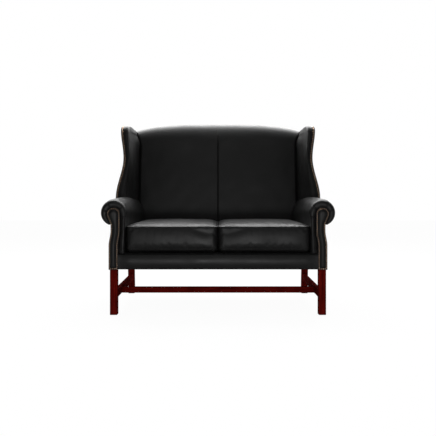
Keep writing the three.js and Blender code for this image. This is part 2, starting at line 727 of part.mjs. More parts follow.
// A strip of nail heads along a line: broad and high at each head, narrow and low between them
function nailStrip(line, standsTo, runsRound) {
  const heads = Math.round(line.getLength() / nailPitch);
  const stops = heads * 2 + (runsRound ? 0 : 1);
  const loops = Array.from({ length: stops }, (_, i) => {
    const share = i / (heads * 2);
    const head = i % 2 === 1;
    const middle = line.getPointAt(share);
    const run = line.getTangentAt(share);
    const up = standsTo(share).clone().projectOnPlane(run).normalize();
    const across = new THREE.Vector3().crossVectors(run, up);
    const half = (head ? nailWidth : nailNeckWidth) / 2;
    const rise = head ? nailHeight : nailNeckHeight;
    return [
      middle.clone().addScaledVector(across, half),
      middle.clone().addScaledVector(across, -half),
      middle.clone().addScaledVector(up, rise),
    ];
  });
  return loft(loops, runsRound);
}

// Outer surface of an arm at a setback: inside face, then round the scroll to the outside arm
function armProfile(y, grow) {
  const share = y / seatDepth;
  const inner = seatHalfWidth - armSplay * share - grow;
  const centre = rollZ + rollRise * share;
  const radius = rollRadius + rollGrow * share + grow;
  const angles = [150, 125, 100, 75, 50, 25, 0, -25, -48, rollEndAngle];
  const roll = angles.map((a) => [
    rollX + radius * Math.cos(radians(a)), centre + radius * Math.sin(radians(a))]);
  const [startX] = roll[0];
  const riseShares = [0, 0.6, 1];
  const easeShare = 0.45;
  const waist = centre - radius / 2;
  return [
    ...riseShares.map((s) => [inner, THREE.MathUtils.lerp(softBase, waist, s)]),
    [THREE.MathUtils.lerp(inner, Math.max(inner, startX), easeShare), centre],
    ...roll,
  ];
}

// The hollow side of an arm's padding, where it lies on the arm board
function armHollow(grow) {
  const outer = rollX + armBoardHalfWidth + fit - grow;
  const inner = rollX - armBoardHalfWidth - fit + grow;
  const top = armBoardTop + fit - grow;
  const neck = facingOuterEdge(facingNeckZ) + armSkin;
  const tuck = rollZ - armBoardThickness;
  return [
    [neck - armSkin / 2, facingNeckZ - grow], [outer, tuck], [outer, top], [inner, top],
    [inner, softBase],
  ];
}

function armBody(grow) {
  const front = armBorderDepth + fit - grow;
  const stops = [front, seatDepth * 0.25, seatDepth * 0.5, seatDepth * 0.75, seatDepth];
  const loops = stops.map((y) => at([...armProfile(y, grow), ...armHollow(grow)], y));
  const rearProfile = [...armProfile(frameRear(rollZ), grow), ...armHollow(grow)];
  loops.push(rearProfile.map(([x, z]) => new THREE.Vector3(x, frameRear(z), z)));
  return loft(loops);
}

// The rolled border round an arm facing, from the deck up the inside, over the scroll to the neck
function armBorder() {
  const profile = armProfile(armBorderDepth, 0);
  const base = railTop + borderCrown + fit;
  const facing = profile.map(([x, z]) => {
    const angle = THREE.MathUtils.radToDeg(Math.atan2(z - facingHeadZ, x - facingHeadX));
    const belowHead = x < facingHeadX && z < facingHeadZ;
    if (belowHead) return [facingInnerEdge(z) + armBorderTuck, Math.max(z, base)];
    if (angle >= facingJoinAngle) return headPoint(armBorderTuck, angle);
    const share = (facingJoinAngle - angle) / (facingJoinAngle - rollEndAngle);
    const [joinX, joinZ] = headPoint(armBorderTuck, facingJoinAngle);
    const neckX = facingOuterEdge(facingNeckZ) - armBorderTuck;
    return [
      THREE.MathUtils.lerp(joinX, neckX, Math.min(1, share)),
      THREE.MathUtils.lerp(joinZ, facingNeckZ, Math.min(1, share)),
    ];
  });
  return loft(profile.map(([x, z], i) => {
    const [fx, fz] = facing[i];
    const low = Math.max(z, base);
    const point = (share, y) =>
      new THREE.Vector3(THREE.MathUtils.lerp(fx, x, share), y, THREE.MathUtils.lerp(fz, low, share));
    return [
      point(0, armBorderDepth), point(0, facingFront), point(0.25, facingFront / 4), point(0.5, 0),
      point(0.8, armBorderRound), point(1, facingBack), point(1, armBorderDepth),
    ];
  }));
}

function addArms() {
  const board = box(
    rollX - armBoardHalfWidth, rollX + armBoardHalfWidth,
    facingBack + fit + stumpThickness + fit, padBack(armBoardTop - armBoardThickness),
    armBoardTop - armBoardThickness, armBoardTop);
  addPair("arm_board", board, materials.beech);
  addPair("inside_arm",
    cut(armBody(0), insideBack(fit), wingBoard(fit), backFrameCutter()), materials.leather);
  const facingCutter = loft([-overrun, armBorderDepth + overrun].map((y) =>
    at(facingOutline(-fit, legHeight), y)));
  addPair("arm_border", cut(armBorder(), facingCutter), materials.leather);

  const heights = [legHeight - borderDrop, ...ogeeSteps, facingNeckZ - armSkin];
  const skin = [
    ...heights.map((z) => [bodyHalfWidth - ogee(z), z]),
    ...heights.reverse().map((z) => [bodyHalfWidth - ogee(z) - armSkin, z]),
  ];
  const front = at(skin, facingBack + fit);
  const rear = skin.map(([x, z]) => new THREE.Vector3(x, frameRear(z), z));
  addPair("outside_arm", loft([front, rear]), materials.leather);
}

// Everything behind the back's padding, out to the far side of a post
const backFrameCutter = () => sidePrism([
  [padBack(legHeight), legHeight], [frameRear(legHeight) + overrun, legHeight],
  [frameRear(crestHeight) + overrun, crestHeight], [padBack(crestHeight), crestHeight],
], 0, postOuter + fit);

// The wing's edge from the arm up over the ear and back, as shares of the wing's depth and height
const wingEdgeShares = [
  [0, 0], [0.005, 0.052], [0.018, 0.108], [0.039, 0.178], [0.062, 0.266], [0.084, 0.365],
  [0.105, 0.469], [0.121, 0.573], [0.135, 0.676], [0.146, 0.772], [0.153, 0.842], [0.162, 0.896],
  [0.18, 0.942], [0.219, 0.977], [0.281, 0.997], [0.4, 1], [0.596, 0.992], [0.802, 0.987], [1, 0.983],
];
const wingEdge = wingEdgeShares.map(([depth, height]) => [
  wingFootSetback + depth * wingDepth, wingFootHeight + height * wingHeight]);

// Where the wing's padding meets the back, for each point of the edge: level with it up to the ear,
// then over the back's shoulder
function wingJoin([y, z], i) {
  const shoulderShares = [0, 0.13, 0.27, 0.42, 0.6, 0.8, 1];
  const first = wingEdge.length - shoulderShares.length;
  if (i < first) return [backFace(z) + wingTuck, z];
  const share = shoulderShares[i - first];
  const low = wingEdge[first - 1][1];
  const [endY, endZ] = wingEdge.at(-1);
  return [
    THREE.MathUtils.lerp(backFace(low) + wingTuck, endY - wingRearEase, share),
    THREE.MathUtils.lerp(low, endZ - wingShoulder, smooth(0, 0.5, share)),
  ];
}

const wingEnds = wingEdge.map((point, i) => {
  const edge = new THREE.Vector2(...point);
  const joinAt = new THREE.Vector2(...wingJoin(point, i));
  const span = joinAt.clone().sub(edge);
  return { edge, joinAt, inward: span.clone().normalize(), reach: span.length() };
});

// Sideways bend of the wing at a point of its side, which fades towards the back of the settee
function bend(y, z) {
  const share = (z - wingFootHeight) / wingHeight;
  const shift = wingFootFlare
    - (wingFootFlare + wingWaistDraw) * smooth(wingFlareShare, wingWaistShare, share)
    + wingEarFlare * smooth(wingWaistShare, wingEarShare, share);
  return shift * (1 - smooth(wingBendFront, wingBendRear, y));
}

// A piece of the wing bent so, less and less from its board inwards to where it meets the back
function bent(geometry) {
  const boardInner = wingHalfWidth - wingSkin - fit * 2 - wingBoardThickness;
  const whole = boardInner - backHalfWidth;
  return toGeometry(toSolid(geometry).refineToLength(wingBendStep).warp((p) => {
    p[0] += bend(p[1], p[2]) * THREE.MathUtils.clamp((p[0] - backHalfWidth) / whole, 0, 1);
  }));
}

function wingBoard(grow) {
  const inner = wingHalfWidth - wingSkin - fit - wingBoardThickness;
  const line = wingEnds.map(({ edge, inward }) =>
    edge.clone().addScaledVector(inward, wingBoardInset - grow));
  const base = armBoardTop + fit - grow;
  const topZ = line.at(-1).y - wingBoardInset;
  const outline = [
    [line[0].x, base], ...line.slice(0, -1).map((p) => [p.x, p.y]),
    [frameRear(topZ) + grow, line.at(-1).y - grow], [frameRear(base) + grow, base],
  ];
  return bent(sidePrism(outline, inner - grow, inner + wingBoardThickness + grow));
}

function insideWing() {
  const outer = wingHalfWidth - wingSkin - fit;
  const boardInner = outer - wingBoardThickness - fit;
  const loops = wingEnds.map(({ edge, joinAt, inward, reach }) => {
    const joinX = backHalfWidthAt(joinAt.y) + fit;
    const edgeX = outer - wingEdgeThickness;
    const short = Math.min(1, reach / (wingEdgeThickness * 2));
    const point = (x, depth) => {
      const p = edge.clone().addScaledVector(inward, depth);
      return new THREE.Vector3(x, p.x, p.y);
    };
    const roundShares = [[0.34, -0.7], [0.6, -1], [0.88, 0.4], [1, 3]];
    const sideShares = [[0.3, 1], [0.7, 0.8]];
    return [
      point(outer, 0),
      point(outer - wingEdgeStrip, 0),
      ...roundShares.map(([across, depth]) =>
        point(outer - wingEdgeThickness * across, wingEdgeSwell * depth * short)),
      ...sideShares.map(([share, swell]) => point(
        THREE.MathUtils.lerp(edgeX, joinX, share) - wingSideSwell * swell * short,
        THREE.MathUtils.lerp(wingEdgeThickness * short, reach, share))),
      point(joinX, reach),
      point(boardInner, reach),
      point(boardInner, wingBoardInset - fit),
      point(outer, wingBoardInset - fit),
    ];
  });
  return bent(loft(loops));
}

function addWings() {
  addPair("wing_board", wingBoard(0), materials.beech);
  const armCutter = armBody(fit);
  addPair("inside_wing",
    cut(insideWing(), armCutter, insideBack(fit), backFrameCutter(), wingBoard(fit)),
    materials.leather);

  const skinBase = (armBoardTop + wingFootHeight) / 2;
  const topZ = wingEdge.at(-1)[1];
  const skinOutline = [
    ...wingEdge.slice(0, -1), [frameRear(topZ) - fit, topZ],
    [frameRear(skinBase) - fit, skinBase], [wingFootSetback, skinBase],
  ];
  const skin = bent(sidePrism(skinOutline, wingHalfWidth - wingSkin + wingSkinGap, wingHalfWidth));
  addPair("outside_wing", cut(skin, armCutter, wingBoard(fit)), materials.leather);

  const nailX = wingHalfWidth - wingSkin - fit - nailInset;
  const outwards = wingEdge.map((_, i) => {
    const [fromY, fromZ] = wingEdge[Math.max(0, i - 1)];
    const [toY, toZ] = wingEdge[Math.min(wingEdge.length - 1, i + 1)];
    return new THREE.Vector3(0, fromZ - toZ, toY - fromY).normalize();
  });
  const above = wingEdge.slice(1).map(([y, z], i) =>
    new THREE.Vector3(nailX + bend(y, z), y, z).addScaledVector(outwards[i + 1], nailLift));
  const line = new THREE.CatmullRomCurve3(above, false, "catmullrom", 0);
  const outward = (share) => {
    const i = Math.round(line.getUtoTmapping(share) * (above.length - 1));
    return outwards[i + 1];
  };
  addPair("wing_nails", nailStrip(line, outward, false), materials.nail);
}

// A cushion as rings in plan, each a rounded and slightly drawn-in outline at one height; the outer
// side follows the splay of the arm
function cushionRing(inset, z) {
  const back = seatDepth - cushionBackGap - cushionDraw;
  const cornerSteps = 3;
  const sideShares = [0.25, 0.5, 0.75];
  const radius = Math.max(cushionCorner - inset / 2, cushionCorner / 3);
  const y0 = cushionFront + inset;
  const y1 = back - inset;
  const x0 = glideGap + inset;
  const outerAt = (y) => seatHalfWidth - glideGap - armSplay * (y / seatDepth) - inset;
  const corners = [
    [x0, y0, 180], [outerAt(y0 + radius), y0, 270], [outerAt(y1), y1, 0], [x0, y1, 90]];
  const ring = [];
  corners.forEach(([x, y, start], i) => {
    const [nextX, nextY] = corners[(i + 1) % corners.length];
    const cx = x + (start === 180 || start === 90 ? radius : -radius);
    const cy = y + (start === 180 || start === 270 ? radius : -radius);
    for (let k = 0; k <= cornerSteps; k++) {
      const angle = radians(start + (90 * k) / cornerSteps);
      ring.push([cx + radius * Math.cos(angle), cy + radius * Math.sin(angle)]);
    }
    const [fromX, fromY] = ring.at(-1);
    const along = new THREE.Vector2(nextX - x, nextY - y).normalize();
    const endX = nextX - along.x * radius;
    const endY = nextY - along.y * radius;
    for (const share of sideShares) {
      const draw = cushionDraw * Math.sin(Math.PI * share);
      ring.push([
        THREE.MathUtils.lerp(fromX, endX, share) - along.y * draw,
        THREE.MathUtils.lerp(fromY, endY, share) + along.x * draw,
      ]);
    }
  });
  return ring.map(([x, y]) => new THREE.Vector3(x, y, z));
}

function addCushions() {
  const base = softBase;
  const low = base + cushionSeamLow;
  const high = base + cushionSeamHigh;
  const middle = (low + high) / 2;
  const across = (seatHalfWidth - armSplay) / 2;
  const crownShares = [0.04, 0.14, 0.32, 0.56, 0.82];
  const crownRings = (seam, rise) =>
    crownShares.map((s) => cushionRing(across * s, seam + rise * Math.sqrt(1 - (1 - s) ** 2)));
  const solid = loft([
    ...crownRings(low, -cushionSeamLow).reverse(),
    cushionRing(cushionBulge, low),
    cushionRing(0, middle),
    cushionRing(cushionBulge, high),
    ...crownRings(high, cushionCrown),
  ]);

  const coreRings = (gap) => {
    const wall = coverWall - gap;
    return [
      cushionRing(across * coreShare, low - cushionSeamLow * coreRise + wall),
      cushionRing(wall + cushionBulge, low), cushionRing(wall + cushionBulge, high),
      cushionRing(across * coreShare, high + cushionCrown * coreRise - wall),
    ];
  };
  const rear = seatDepth - cushionBackGap;
  const zipTo = across * 2 - zipInset;
  const slot = box(
    zipInset, zipTo, rear - slotDepth, rear + overrun,
    base + zipRise, base + zipRise + zipHeight);
  addPair("cushion_cover", cut(solid, loft(coreRings(fit)), slot), materials.leather);
  addPair("cushion_core", loft(coreRings(0)), materials.foam);
  const zipFace = rear - cushionDraw * 2 - cushionBulge;
  addPair("cushion_zip", box(
    zipInset + fit, zipTo - fit, zipFace - zipThickness, zipFace,
    base + zipRise + fit, base + zipRise + zipHeight - fit), materials.cloth);
}

addLegsAndStretchers();
addSeatFrame();
addSprings();
addSeatUpholstery();
addBackFrame();
addBackUpholstery();
addArmFacings();
addArms();
addWings();
addCushions();

// The origin is on the floor, under the middle of the settee
const extent = new THREE.Box3().setFromObject(settee);
settee.position.y = -(extent.min.y + extent.max.y) / 2;

const root = new THREE.Group();
root.add(settee);

export default root;
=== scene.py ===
import bmesh
import bpy
import numpy as np
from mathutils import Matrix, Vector


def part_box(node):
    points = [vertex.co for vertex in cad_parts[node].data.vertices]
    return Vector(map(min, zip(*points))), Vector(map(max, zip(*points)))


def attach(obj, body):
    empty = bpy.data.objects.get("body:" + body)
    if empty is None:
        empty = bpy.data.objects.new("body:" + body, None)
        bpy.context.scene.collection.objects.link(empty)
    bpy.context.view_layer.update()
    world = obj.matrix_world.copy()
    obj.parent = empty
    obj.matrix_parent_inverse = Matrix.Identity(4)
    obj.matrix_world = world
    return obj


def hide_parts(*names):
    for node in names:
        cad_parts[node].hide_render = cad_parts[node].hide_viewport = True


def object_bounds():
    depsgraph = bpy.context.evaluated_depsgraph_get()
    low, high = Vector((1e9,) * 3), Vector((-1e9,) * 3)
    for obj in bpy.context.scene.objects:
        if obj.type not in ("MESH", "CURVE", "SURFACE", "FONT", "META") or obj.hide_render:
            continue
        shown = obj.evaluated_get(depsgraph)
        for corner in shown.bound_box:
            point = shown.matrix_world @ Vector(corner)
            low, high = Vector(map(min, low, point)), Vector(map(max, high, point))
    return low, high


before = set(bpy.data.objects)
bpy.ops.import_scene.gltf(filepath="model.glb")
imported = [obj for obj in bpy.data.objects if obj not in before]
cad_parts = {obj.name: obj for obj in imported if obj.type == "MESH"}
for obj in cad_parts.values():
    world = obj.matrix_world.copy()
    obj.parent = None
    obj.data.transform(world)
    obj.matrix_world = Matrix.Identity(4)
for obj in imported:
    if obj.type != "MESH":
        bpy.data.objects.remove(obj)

cad_low, cad_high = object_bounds()

# Camera: level, well in front of the settee and a little above its arms. Its distance is the one that
# makes the side stretchers and the wings draw together as much as they do in the photograph.
camera_gap = 3.2
camera_height = 0.7085
sensor_width = 36
view_width = 2.422  # what the picture takes in at the plane of the arm facings
picture_size = 436
horizon_above_middle = 30

camera_data = bpy.data.cameras.new("camera")
camera_data.sensor_width = sensor_width
camera_data.lens = sensor_width * camera_gap / view_width
camera_data.shift_y = -horizon_above_middle / picture_size
camera = bpy.data.objects.new("camera", camera_data)
camera.location = (0, cad_low.y - camera_gap, camera_height)
camera.rotation_euler = (np.pi / 2, 0, 0)
bpy.context.scene.collection.objects.link(camera)
bpy.context.scene.camera = camera


# Front legs: square mahogany posts that run up behind the border to the top of the rails. They are
# planed, their arrises and feet are eased by hand, and they are stained dark red and polished.
leg_arris = 0.0022
foot_ease = 0.0015
mahogany_dark = (0.024, 0.0012, 0.0008, 1)
mahogany_light = (0.11, 0.005, 0.003, 1)
mahogany_rough = 0.65
mahogany_shine = 0.001


def add_node(tree, kind, inputs=None, **settings):
    """A shader node with its settings; an input is linked if it is given a socket, else set to a value."""
    made = tree.nodes.new("ShaderNode" + kind)
    for key, value in settings.items():
        setattr(made, key, value)
    for key, value in (inputs or {}).items():
        if isinstance(value, bpy.types.NodeSocket):
            tree.links.new(value, made.inputs[key])
        else:
            made.inputs[key].default_value = value
    return made


def arithmetic(tree, operation, *values):
    """One sum on values or sockets, as a socket."""
    return add_node(tree, "Math", dict(enumerate(values)), operation=operation).outputs[0]


def connect(tree, node, **sockets):
    """Links sockets to a node's inputs; an underscore stands for a space in an input's name."""
    for label, socket in sockets.items():
        tree.links.new(socket, node.inputs[label.replace("_", " ")])


def object_place(tree):
    """The place on the piece in its own coordinates, as a socket."""
    return add_node(tree, "TexCoord").outputs["Object"]


def ramp(tree, factor, *stops):
    """A colour ramp through stops of (place, colour), as a socket."""
    made = add_node(tree, "ValToRGB", {"Fac": factor})
    elements = made.color_ramp.elements
    while len(elements) < len(stops):
        elements.new(1)
    for element, (place, colour) in zip(elements, stops):
        element.position = place
        element.color = colour
    return made.outputs["Color"]


def node_group(name, inputs, outputs):
    """An empty shader node group with its sockets, as (tree, what comes in, what goes out)."""
    tree = bpy.data.node_groups.new(name, "ShaderNodeTree")
    for label, kind, value in inputs:
        socket = tree.interface.new_socket(label, in_out="INPUT", socket_type="NodeSocket" + kind)
        if value is not None:
            socket.default_value = value
    for label, kind in outputs:
        tree.interface.new_socket(label, in_out="OUTPUT", socket_type="NodeSocket" + kind)
    return tree, tree.nodes.new("NodeGroupInput"), tree.nodes.new("NodeGroupOutput")


def new_material(name, **settings):
    """A material with its Principled shader's constant sockets set, as (material, tree, shader)."""
    material = bpy.data.materials.new(name)
    material.use_nodes = True
    shader = material.node_tree.nodes["Principled BSDF"]
    for label, value in settings.items():
        shader.inputs[label.replace("_", " ")].default_value = value
    return material, material.node_tree, shader


# Wood grain: long streaks along the vector's z, with slow clouds of tone and fine open pores between them
grain, grain_in, grain_out = node_group(
    "wood grain",
    [("Vector", "Vector", None), ("Streak Size", "Float", 0.006), ("Pore Depth", "Float", 1.0),
     ("Dark", "Color", (0, 0, 0, 1)), ("Light", "Color", (1, 1, 1, 1))],
    [("Color", "Color"), ("Roughness Shift", "Float"), ("Height", "Float")])
stretched = add_node(grain, "Mapping", {"Vector": grain_in.outputs["Vector"], "Scale": (1, 1, 0.06)})
frequency = arithmetic(grain, "DIVIDE", 1, grain_in.outputs["Streak Size"])
streaks = add_node(grain, "TexNoise", {
    "Vector": stretched.outputs[0], "Scale": frequency, "Detail": 6, "Roughness": 0.62, "Distortion": 0.6})
pores = add_node(grain, "TexNoise", {
    "Vector": stretched.outputs[0], "Scale": arithmetic(grain, "MULTIPLY", frequency, 9), "Detail": 3})
clouds = add_node(grain, "TexNoise", {"Vector": grain_in.outputs["Vector"], "Scale": 9, "Detail": 2})
figure = arithmetic(grain, "MULTIPLY_ADD", clouds.outputs["Fac"], 0.45, streaks.outputs["Fac"])
shade = add_node(grain, "MapRange", {"Value": figure, "From Min": 0.52, "From Max": 0.92}, clamp=True)
open_pores = add_node(grain, "MapRange", {
    "Value": pores.outputs["Fac"], "From Min": 0.36, "From Max": 0.5, "To Min": 0, "To Max": 1})
mixed = add_node(grain, "Mix", {
    0: arithmetic(grain, "MULTIPLY", shade.outputs[0], arithmetic(
        grain, "MULTIPLY_ADD", open_pores.outputs[0], 0.3, 0.7)),
    6: grain_in.outputs["Dark"], 7: grain_in.outputs["Light"]}, data_type="RGBA")
connect(grain, grain_out, Color=mixed.outputs[2],
        Roughness_Shift=arithmetic(grain, "MULTIPLY_ADD", open_pores.outputs[0], -0.08, 0.08),
        Height=arithmetic(grain, "MULTIPLY", open_pores.outputs[0], grain_in.outputs["Pore Depth"]))


def wood(name, turn, dark, light, rough, shine, streak_size, pore_depth=1.0):
    """A wood whose grain lies along z, turned by Euler angles so that it runs along another axis."""
    material, tree, shader = new_material(name, Specular_IOR_Level=shine)
    turned = add_node(tree, "Mapping", {"Vector": object_place(tree), "Rotation": turn},
                      vector_type="TEXTURE")
    cut = add_node(tree, "Group", {
        "Vector": turned.outputs[0], "Streak Size": streak_size, "Pore Depth": pore_depth,
        "Dark": dark, "Light": light}, node_tree=grain)
    bump = add_node(tree, "Bump", {"Height": cut.outputs["Height"], "Strength": 0.35, "Distance": 0.0003})
    connect(tree, shader, Base_Color=cut.outputs["Color"], Normal=bump.outputs[0],
            Roughness=arithmetic(tree, "ADD", cut.outputs["Roughness Shift"], rough))
    return material


upright, along_y, along_x = (0, 0, 0), (np.pi / 2, 0, 0), (0, np.pi / 2, 0)
mahogany = {
    turn: wood("mahogany_" + name, turn, mahogany_dark, mahogany_light,
               mahogany_rough, mahogany_shine, streak_size=0.007)
    for name, turn in (("upright", upright), ("front_to_back", along_y), ("across", along_x))}


def rounded_rectangle(low, high, radius, corner_points=6):
    """A rectangle's outline with round corners: at each corner's centre, a radius turned a quarter."""
    start = np.radians([0, 90, 180, 270])[:, None]
    angle = start + np.radians(np.linspace(0, 90, corner_points))
    across = np.array([high[0], low[0], low[0], high[0]])[:, None]
    up = np.array([high[1], high[1], low[1], low[1]])[:, None]
    across = across + radius * (np.cos(angle) - np.sign(across - (low[0] + high[0]) / 2))
    up = up + radius * (np.sin(angle) - np.sign(up - (low[1] + high[1]) / 2))
    return np.stack([across, up], -1).reshape(-1, 2)


def carry(name, rows, runs_round=False, sharp_angle=40):
    """A closed profile carried along a path: rows[i, j] is point j of the profile at stop i.
    Four-sided faces join the neighbours. Each end is closed by rungs from point j to point -1 - j, unless
    the path runs round. Faces are turned outwards by the sign of the volume."""
    stops, count = rows.shape[:2]
    index = np.arange(stops * count).reshape(stops, count)
    run = np.vstack([index, index[:1]]) if runs_round else index
    beside = np.roll(run, -1, axis=1)
    faces = [np.stack([run[:-1], beside[:-1], beside[1:], run[1:]], -1).reshape(-1, 4)]
    if not runs_round:
        near = np.arange(count // 2 - 1)
        for end, turned in ((index[0], True), (index[-1], False)):
            rungs = np.stack([end[near], end[near + 1], end[-2 - near], end[-1 - near]], -1)
            faces.append(rungs[:, ::-1] if turned else rungs)
    return build(name, rows.reshape(-1, 3), np.vstack(faces), sharp_angle)


def build(name, points, faces, sharp_angle=40):
    """An object from points and faces, with doubles merged, faces outwards and smooth but for sharp edges."""
    mesh = bpy.data.meshes.new(name)
    mesh.from_pydata(points, [], faces)
    shape = bmesh.new()
    shape.from_mesh(mesh)
    bmesh.ops.remove_doubles(shape, verts=shape.verts, dist=1e-6)
    bmesh.ops.dissolve_degenerate(shape, edges=shape.edges, dist=1e-6)
    if shape.calc_volume(signed=True) < 0:
        bmesh.ops.reverse_faces(shape, faces=shape.faces)
    shape.to_mesh(mesh)
    shape.free()
    mesh.shade_smooth()
    mesh.set_sharp_from_angle(angle=np.radians(sharp_angle))
    piece = bpy.data.objects.new(name, mesh)
    bpy.context.scene.collection.objects.link(piece)
    return piece


def finish_piece(piece, material, slot, body, *nodes):
    """Gives a piece its material and its body, and hides the nodes that it stands for. Its slot is not used.
    """
    piece.data.materials.append(material)
    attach(piece, body)
    if nodes:
        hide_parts(*nodes)


def mirrored(rows, side):
    """Points of the right-hand piece, or for side -1 their mirror image."""
    return rows * np.array([side, 1, 1])


sides = (("right", 1), ("left", -1))


def make_pair(name, node, rows, material, slot, sharp_angle=40, seed=None):
    """A right and a left piece on the frame, each in place of its node, from the right one's rows or a
    function that gives them for a seed."""
    for side, sign in sides:
        given = rows if seed is None else rows(seed + sign)
        piece = carry(name + "_" + side, mirrored(given, sign), sharp_angle=sharp_angle)
        finish_piece(piece, material, slot, "frame", node + "_" + side)


leg_low, leg_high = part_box("front_leg_right")
leg_size = leg_high.x - leg_low.x


def post_rows(side_face, stops):
    """A square post's outline at each stop, which is (its height, where its front face lies, its inset)."""
    outlines = [rounded_rectangle((side_face + inset, front + inset),
                                  (side_face + leg_size - inset, front + leg_size - inset), leg_arris)
                for _, front, inset in stops]
    return np.stack([np.insert(outline, 2, stop[0], axis=1) for outline, stop in zip(outlines, stops)])


front_leg_rows = post_rows(leg_low.x, [
    (leg_low.z, leg_low.y, foot_ease), (leg_low.z + foot_ease, leg_low.y, 0), (leg_high.z, leg_low.y, 0)])
make_pair("front_leg_polished", "front_leg", front_leg_rows, mahogany[upright], "mahogany")


# Rear legs: the same mahogany section, sawn so that the part below the rails rakes back to a foot
# behind the settee. The upper part stands inside the corner of the seat frame.
rear_low, rear_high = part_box("rear_leg_right")
rear_rake = rear_high.y - rear_low.y - leg_size
rake_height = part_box("front_rail")[0].z
bend_softness = 0.004


def rear_leg_front(height):
    """Where the front face of a rear leg stands: behind its upper part by the rake, less with height."""
    return rear_low.y + rear_rake * (1 - np.clip(height / rake_height, 0, 1))


rear_leg_rows = post_rows(rear_low.x, [
    (height, rear_leg_front(height), inset) for height, inset in (
        (0, foot_ease), (foot_ease, 0), (rake_height - bend_softness, 0), (rake_height + bend_softness, 0),
        (rear_high.z, 0))])
make_pair("rear_leg_polished", "rear_leg", rear_leg_rows, mahogany[upright], "mahogany")


# Stretchers: a mahogany rail low down between the legs of each side, and one across that joins them
# well forward. They are tenoned in, with eased arrises, and finished like the legs.
stretcher_arris = 0.002
side_low, side_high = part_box("side_stretcher_right")
cross_low, cross_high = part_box("cross_stretcher")

side_outline = rounded_rectangle((side_low.x, side_low.z), (side_high.x, side_high.z), stretcher_arris)
front_end = np.full(len(side_outline), leg_high.y)
side_rows = np.stack([
    np.column_stack([side_outline[:, 0], end, side_outline[:, 1]])
    for end in (front_end, rear_leg_front(side_outline[:, 1]))])
make_pair("side_stretcher_polished", "side_stretcher", side_rows, mahogany[along_y], "mahogany")

cross_outline = rounded_rectangle(
    (cross_low.y, cross_low.z), (cross_high.y, cross_high.z), stretcher_arris)
cross_rows = np.stack([
    np.column_stack([np.full(len(cross_outline), end), cross_outline]) for end in (-side_low.x, side_low.x)])
rail = carry("cross_stretcher_polished", cross_rows)
finish_piece(rail, mahogany[along_x], "mahogany", "frame", "cross_stretcher")


# Seat and back frame: beech rails, posts, stumps and boards, sawn, glued and screwed, and left bare
# because leather and linen cover them. They stay as the construction has them.
beech_dark = (0.32, 0.19, 0.09, 1)
beech_light = (0.56, 0.38, 0.22, 1)
beech = {
    turn: wood("beech_" + name, turn, beech_dark, beech_light, 0.6, 0.4, streak_size=0.004, pore_depth=0.6)
    for name, turn in (("upright", upright), ("front_to_back", along_y), ("across", along_x))}


def paint_node(name, material):
    """Gives a piece of the construction, and its mirror image if it has one, its material."""
    for node in (name, name + "_left", name + "_right"):
        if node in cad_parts:
            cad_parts[node].data.materials.clear()
            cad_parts[node].data.materials.append(material)


for turn, names in (
        (along_x, ("front_rail", "rear_rail", "back_lower_rail", "back_top_rail",
                   "corner_block_front", "corner_block_rear")),
        (along_y, ("centre_rail", "side_rail", "arm_board")),
        (upright, ("arm_stump", "back_post", "back_centre_upright", "wing_board"))):
    for name in names:
        paint_node(name, beech[turn])


# Springs: zigzag springs of hard drawn wire, oiled grey steel, tied to each other across the seat.
# They stay as the construction has them.


def metal(name, noise_scale, noise_detail, dark, light, rough_gain, rough):
    """A metal in cloudy tones: dark and light are (place on the noise, colour), and its roughness starts
    from rough and changes by the gain times the noise."""
    material, tree, shader = new_material(name, Metallic=1)
    tone = add_node(tree, "TexNoise", {
        "Vector": object_place(tree), "Scale": noise_scale, "Detail": noise_detail}).outputs["Fac"]
    connect(tree, shader, Base_Color=ramp(tree, tone, dark, light),
            Roughness=arithmetic(tree, "MULTIPLY_ADD", tone, rough_gain, rough))
    return material


steel = metal("spring_steel", 160, 5, (0.3, (0.16, 0.15, 0.14, 1)), (0.7, (0.33, 0.33, 0.34, 1)), 0.3, 0.25)
paint_node("seat_springs", steel)


# Lining and webbing: black woven lining over the springs and under the seat, and jute webbing laced
# across the back. All are plain weave: threads over and under in turn.
weave, weave_in, weave_out = node_group(
    "plain weave",
    [("Across", "Float", 0.0), ("Along", "Float", 0.0), ("Thread", "Float", 0.0008)],
    [("Height", "Float"), ("Fibre", "Float")])


def wave(tree, value, pitch):
    """Sine of a length, one turn in each two threads."""
    turns = arithmetic(tree, "DIVIDE", arithmetic(tree, "MULTIPLY", value, np.pi), pitch)
    return arithmetic(tree, "SINE", turns)


warp = wave(weave, weave_in.outputs["Across"], weave_in.outputs["Thread"])
weft = wave(weave, weave_in.outputs["Along"], weave_in.outputs["Thread"])
over = arithmetic(weave, "MULTIPLY", warp, weft)
threads = arithmetic(weave, "MULTIPLY_ADD", arithmetic(weave, "ABSOLUTE", warp), 0.5,
                     arithmetic(weave, "MULTIPLY", arithmetic(weave, "ABSOLUTE", weft), 0.5))
connect(weave, weave_out, Fibre=threads, Height=arithmetic(weave, "MULTIPLY_ADD", over, 0.5, threads))


def cloth(name, dark, light, thread, axes):
    """A woven cloth whose threads lie along two axes of the piece's own coordinates."""
    material, tree, shader = new_material(name, Roughness=0.92, Specular_IOR_Level=0.2)
    place = object_place(tree)
    apart = add_node(tree, "SeparateXYZ", {"Vector": place}).outputs
    woven = add_node(tree, "Group", {
        "Across": apart[axes[0]], "Along": apart[axes[1]], "Thread": thread}, node_tree=weave)
    slub = add_node(tree, "TexNoise", {"Vector": place, "Scale": 60, "Detail": 3})
    mixture = arithmetic(tree, "MULTIPLY", woven.outputs["Fibre"], slub.outputs["Fac"])
    bump = add_node(tree, "Bump", {
        "Height": woven.outputs["Height"], "Strength": 0.6, "Distance": thread / 2})
    connect(tree, shader, Base_Color=ramp(tree, mixture, (0, dark), (0.7, light)), Normal=bump.outputs[0])
    return material


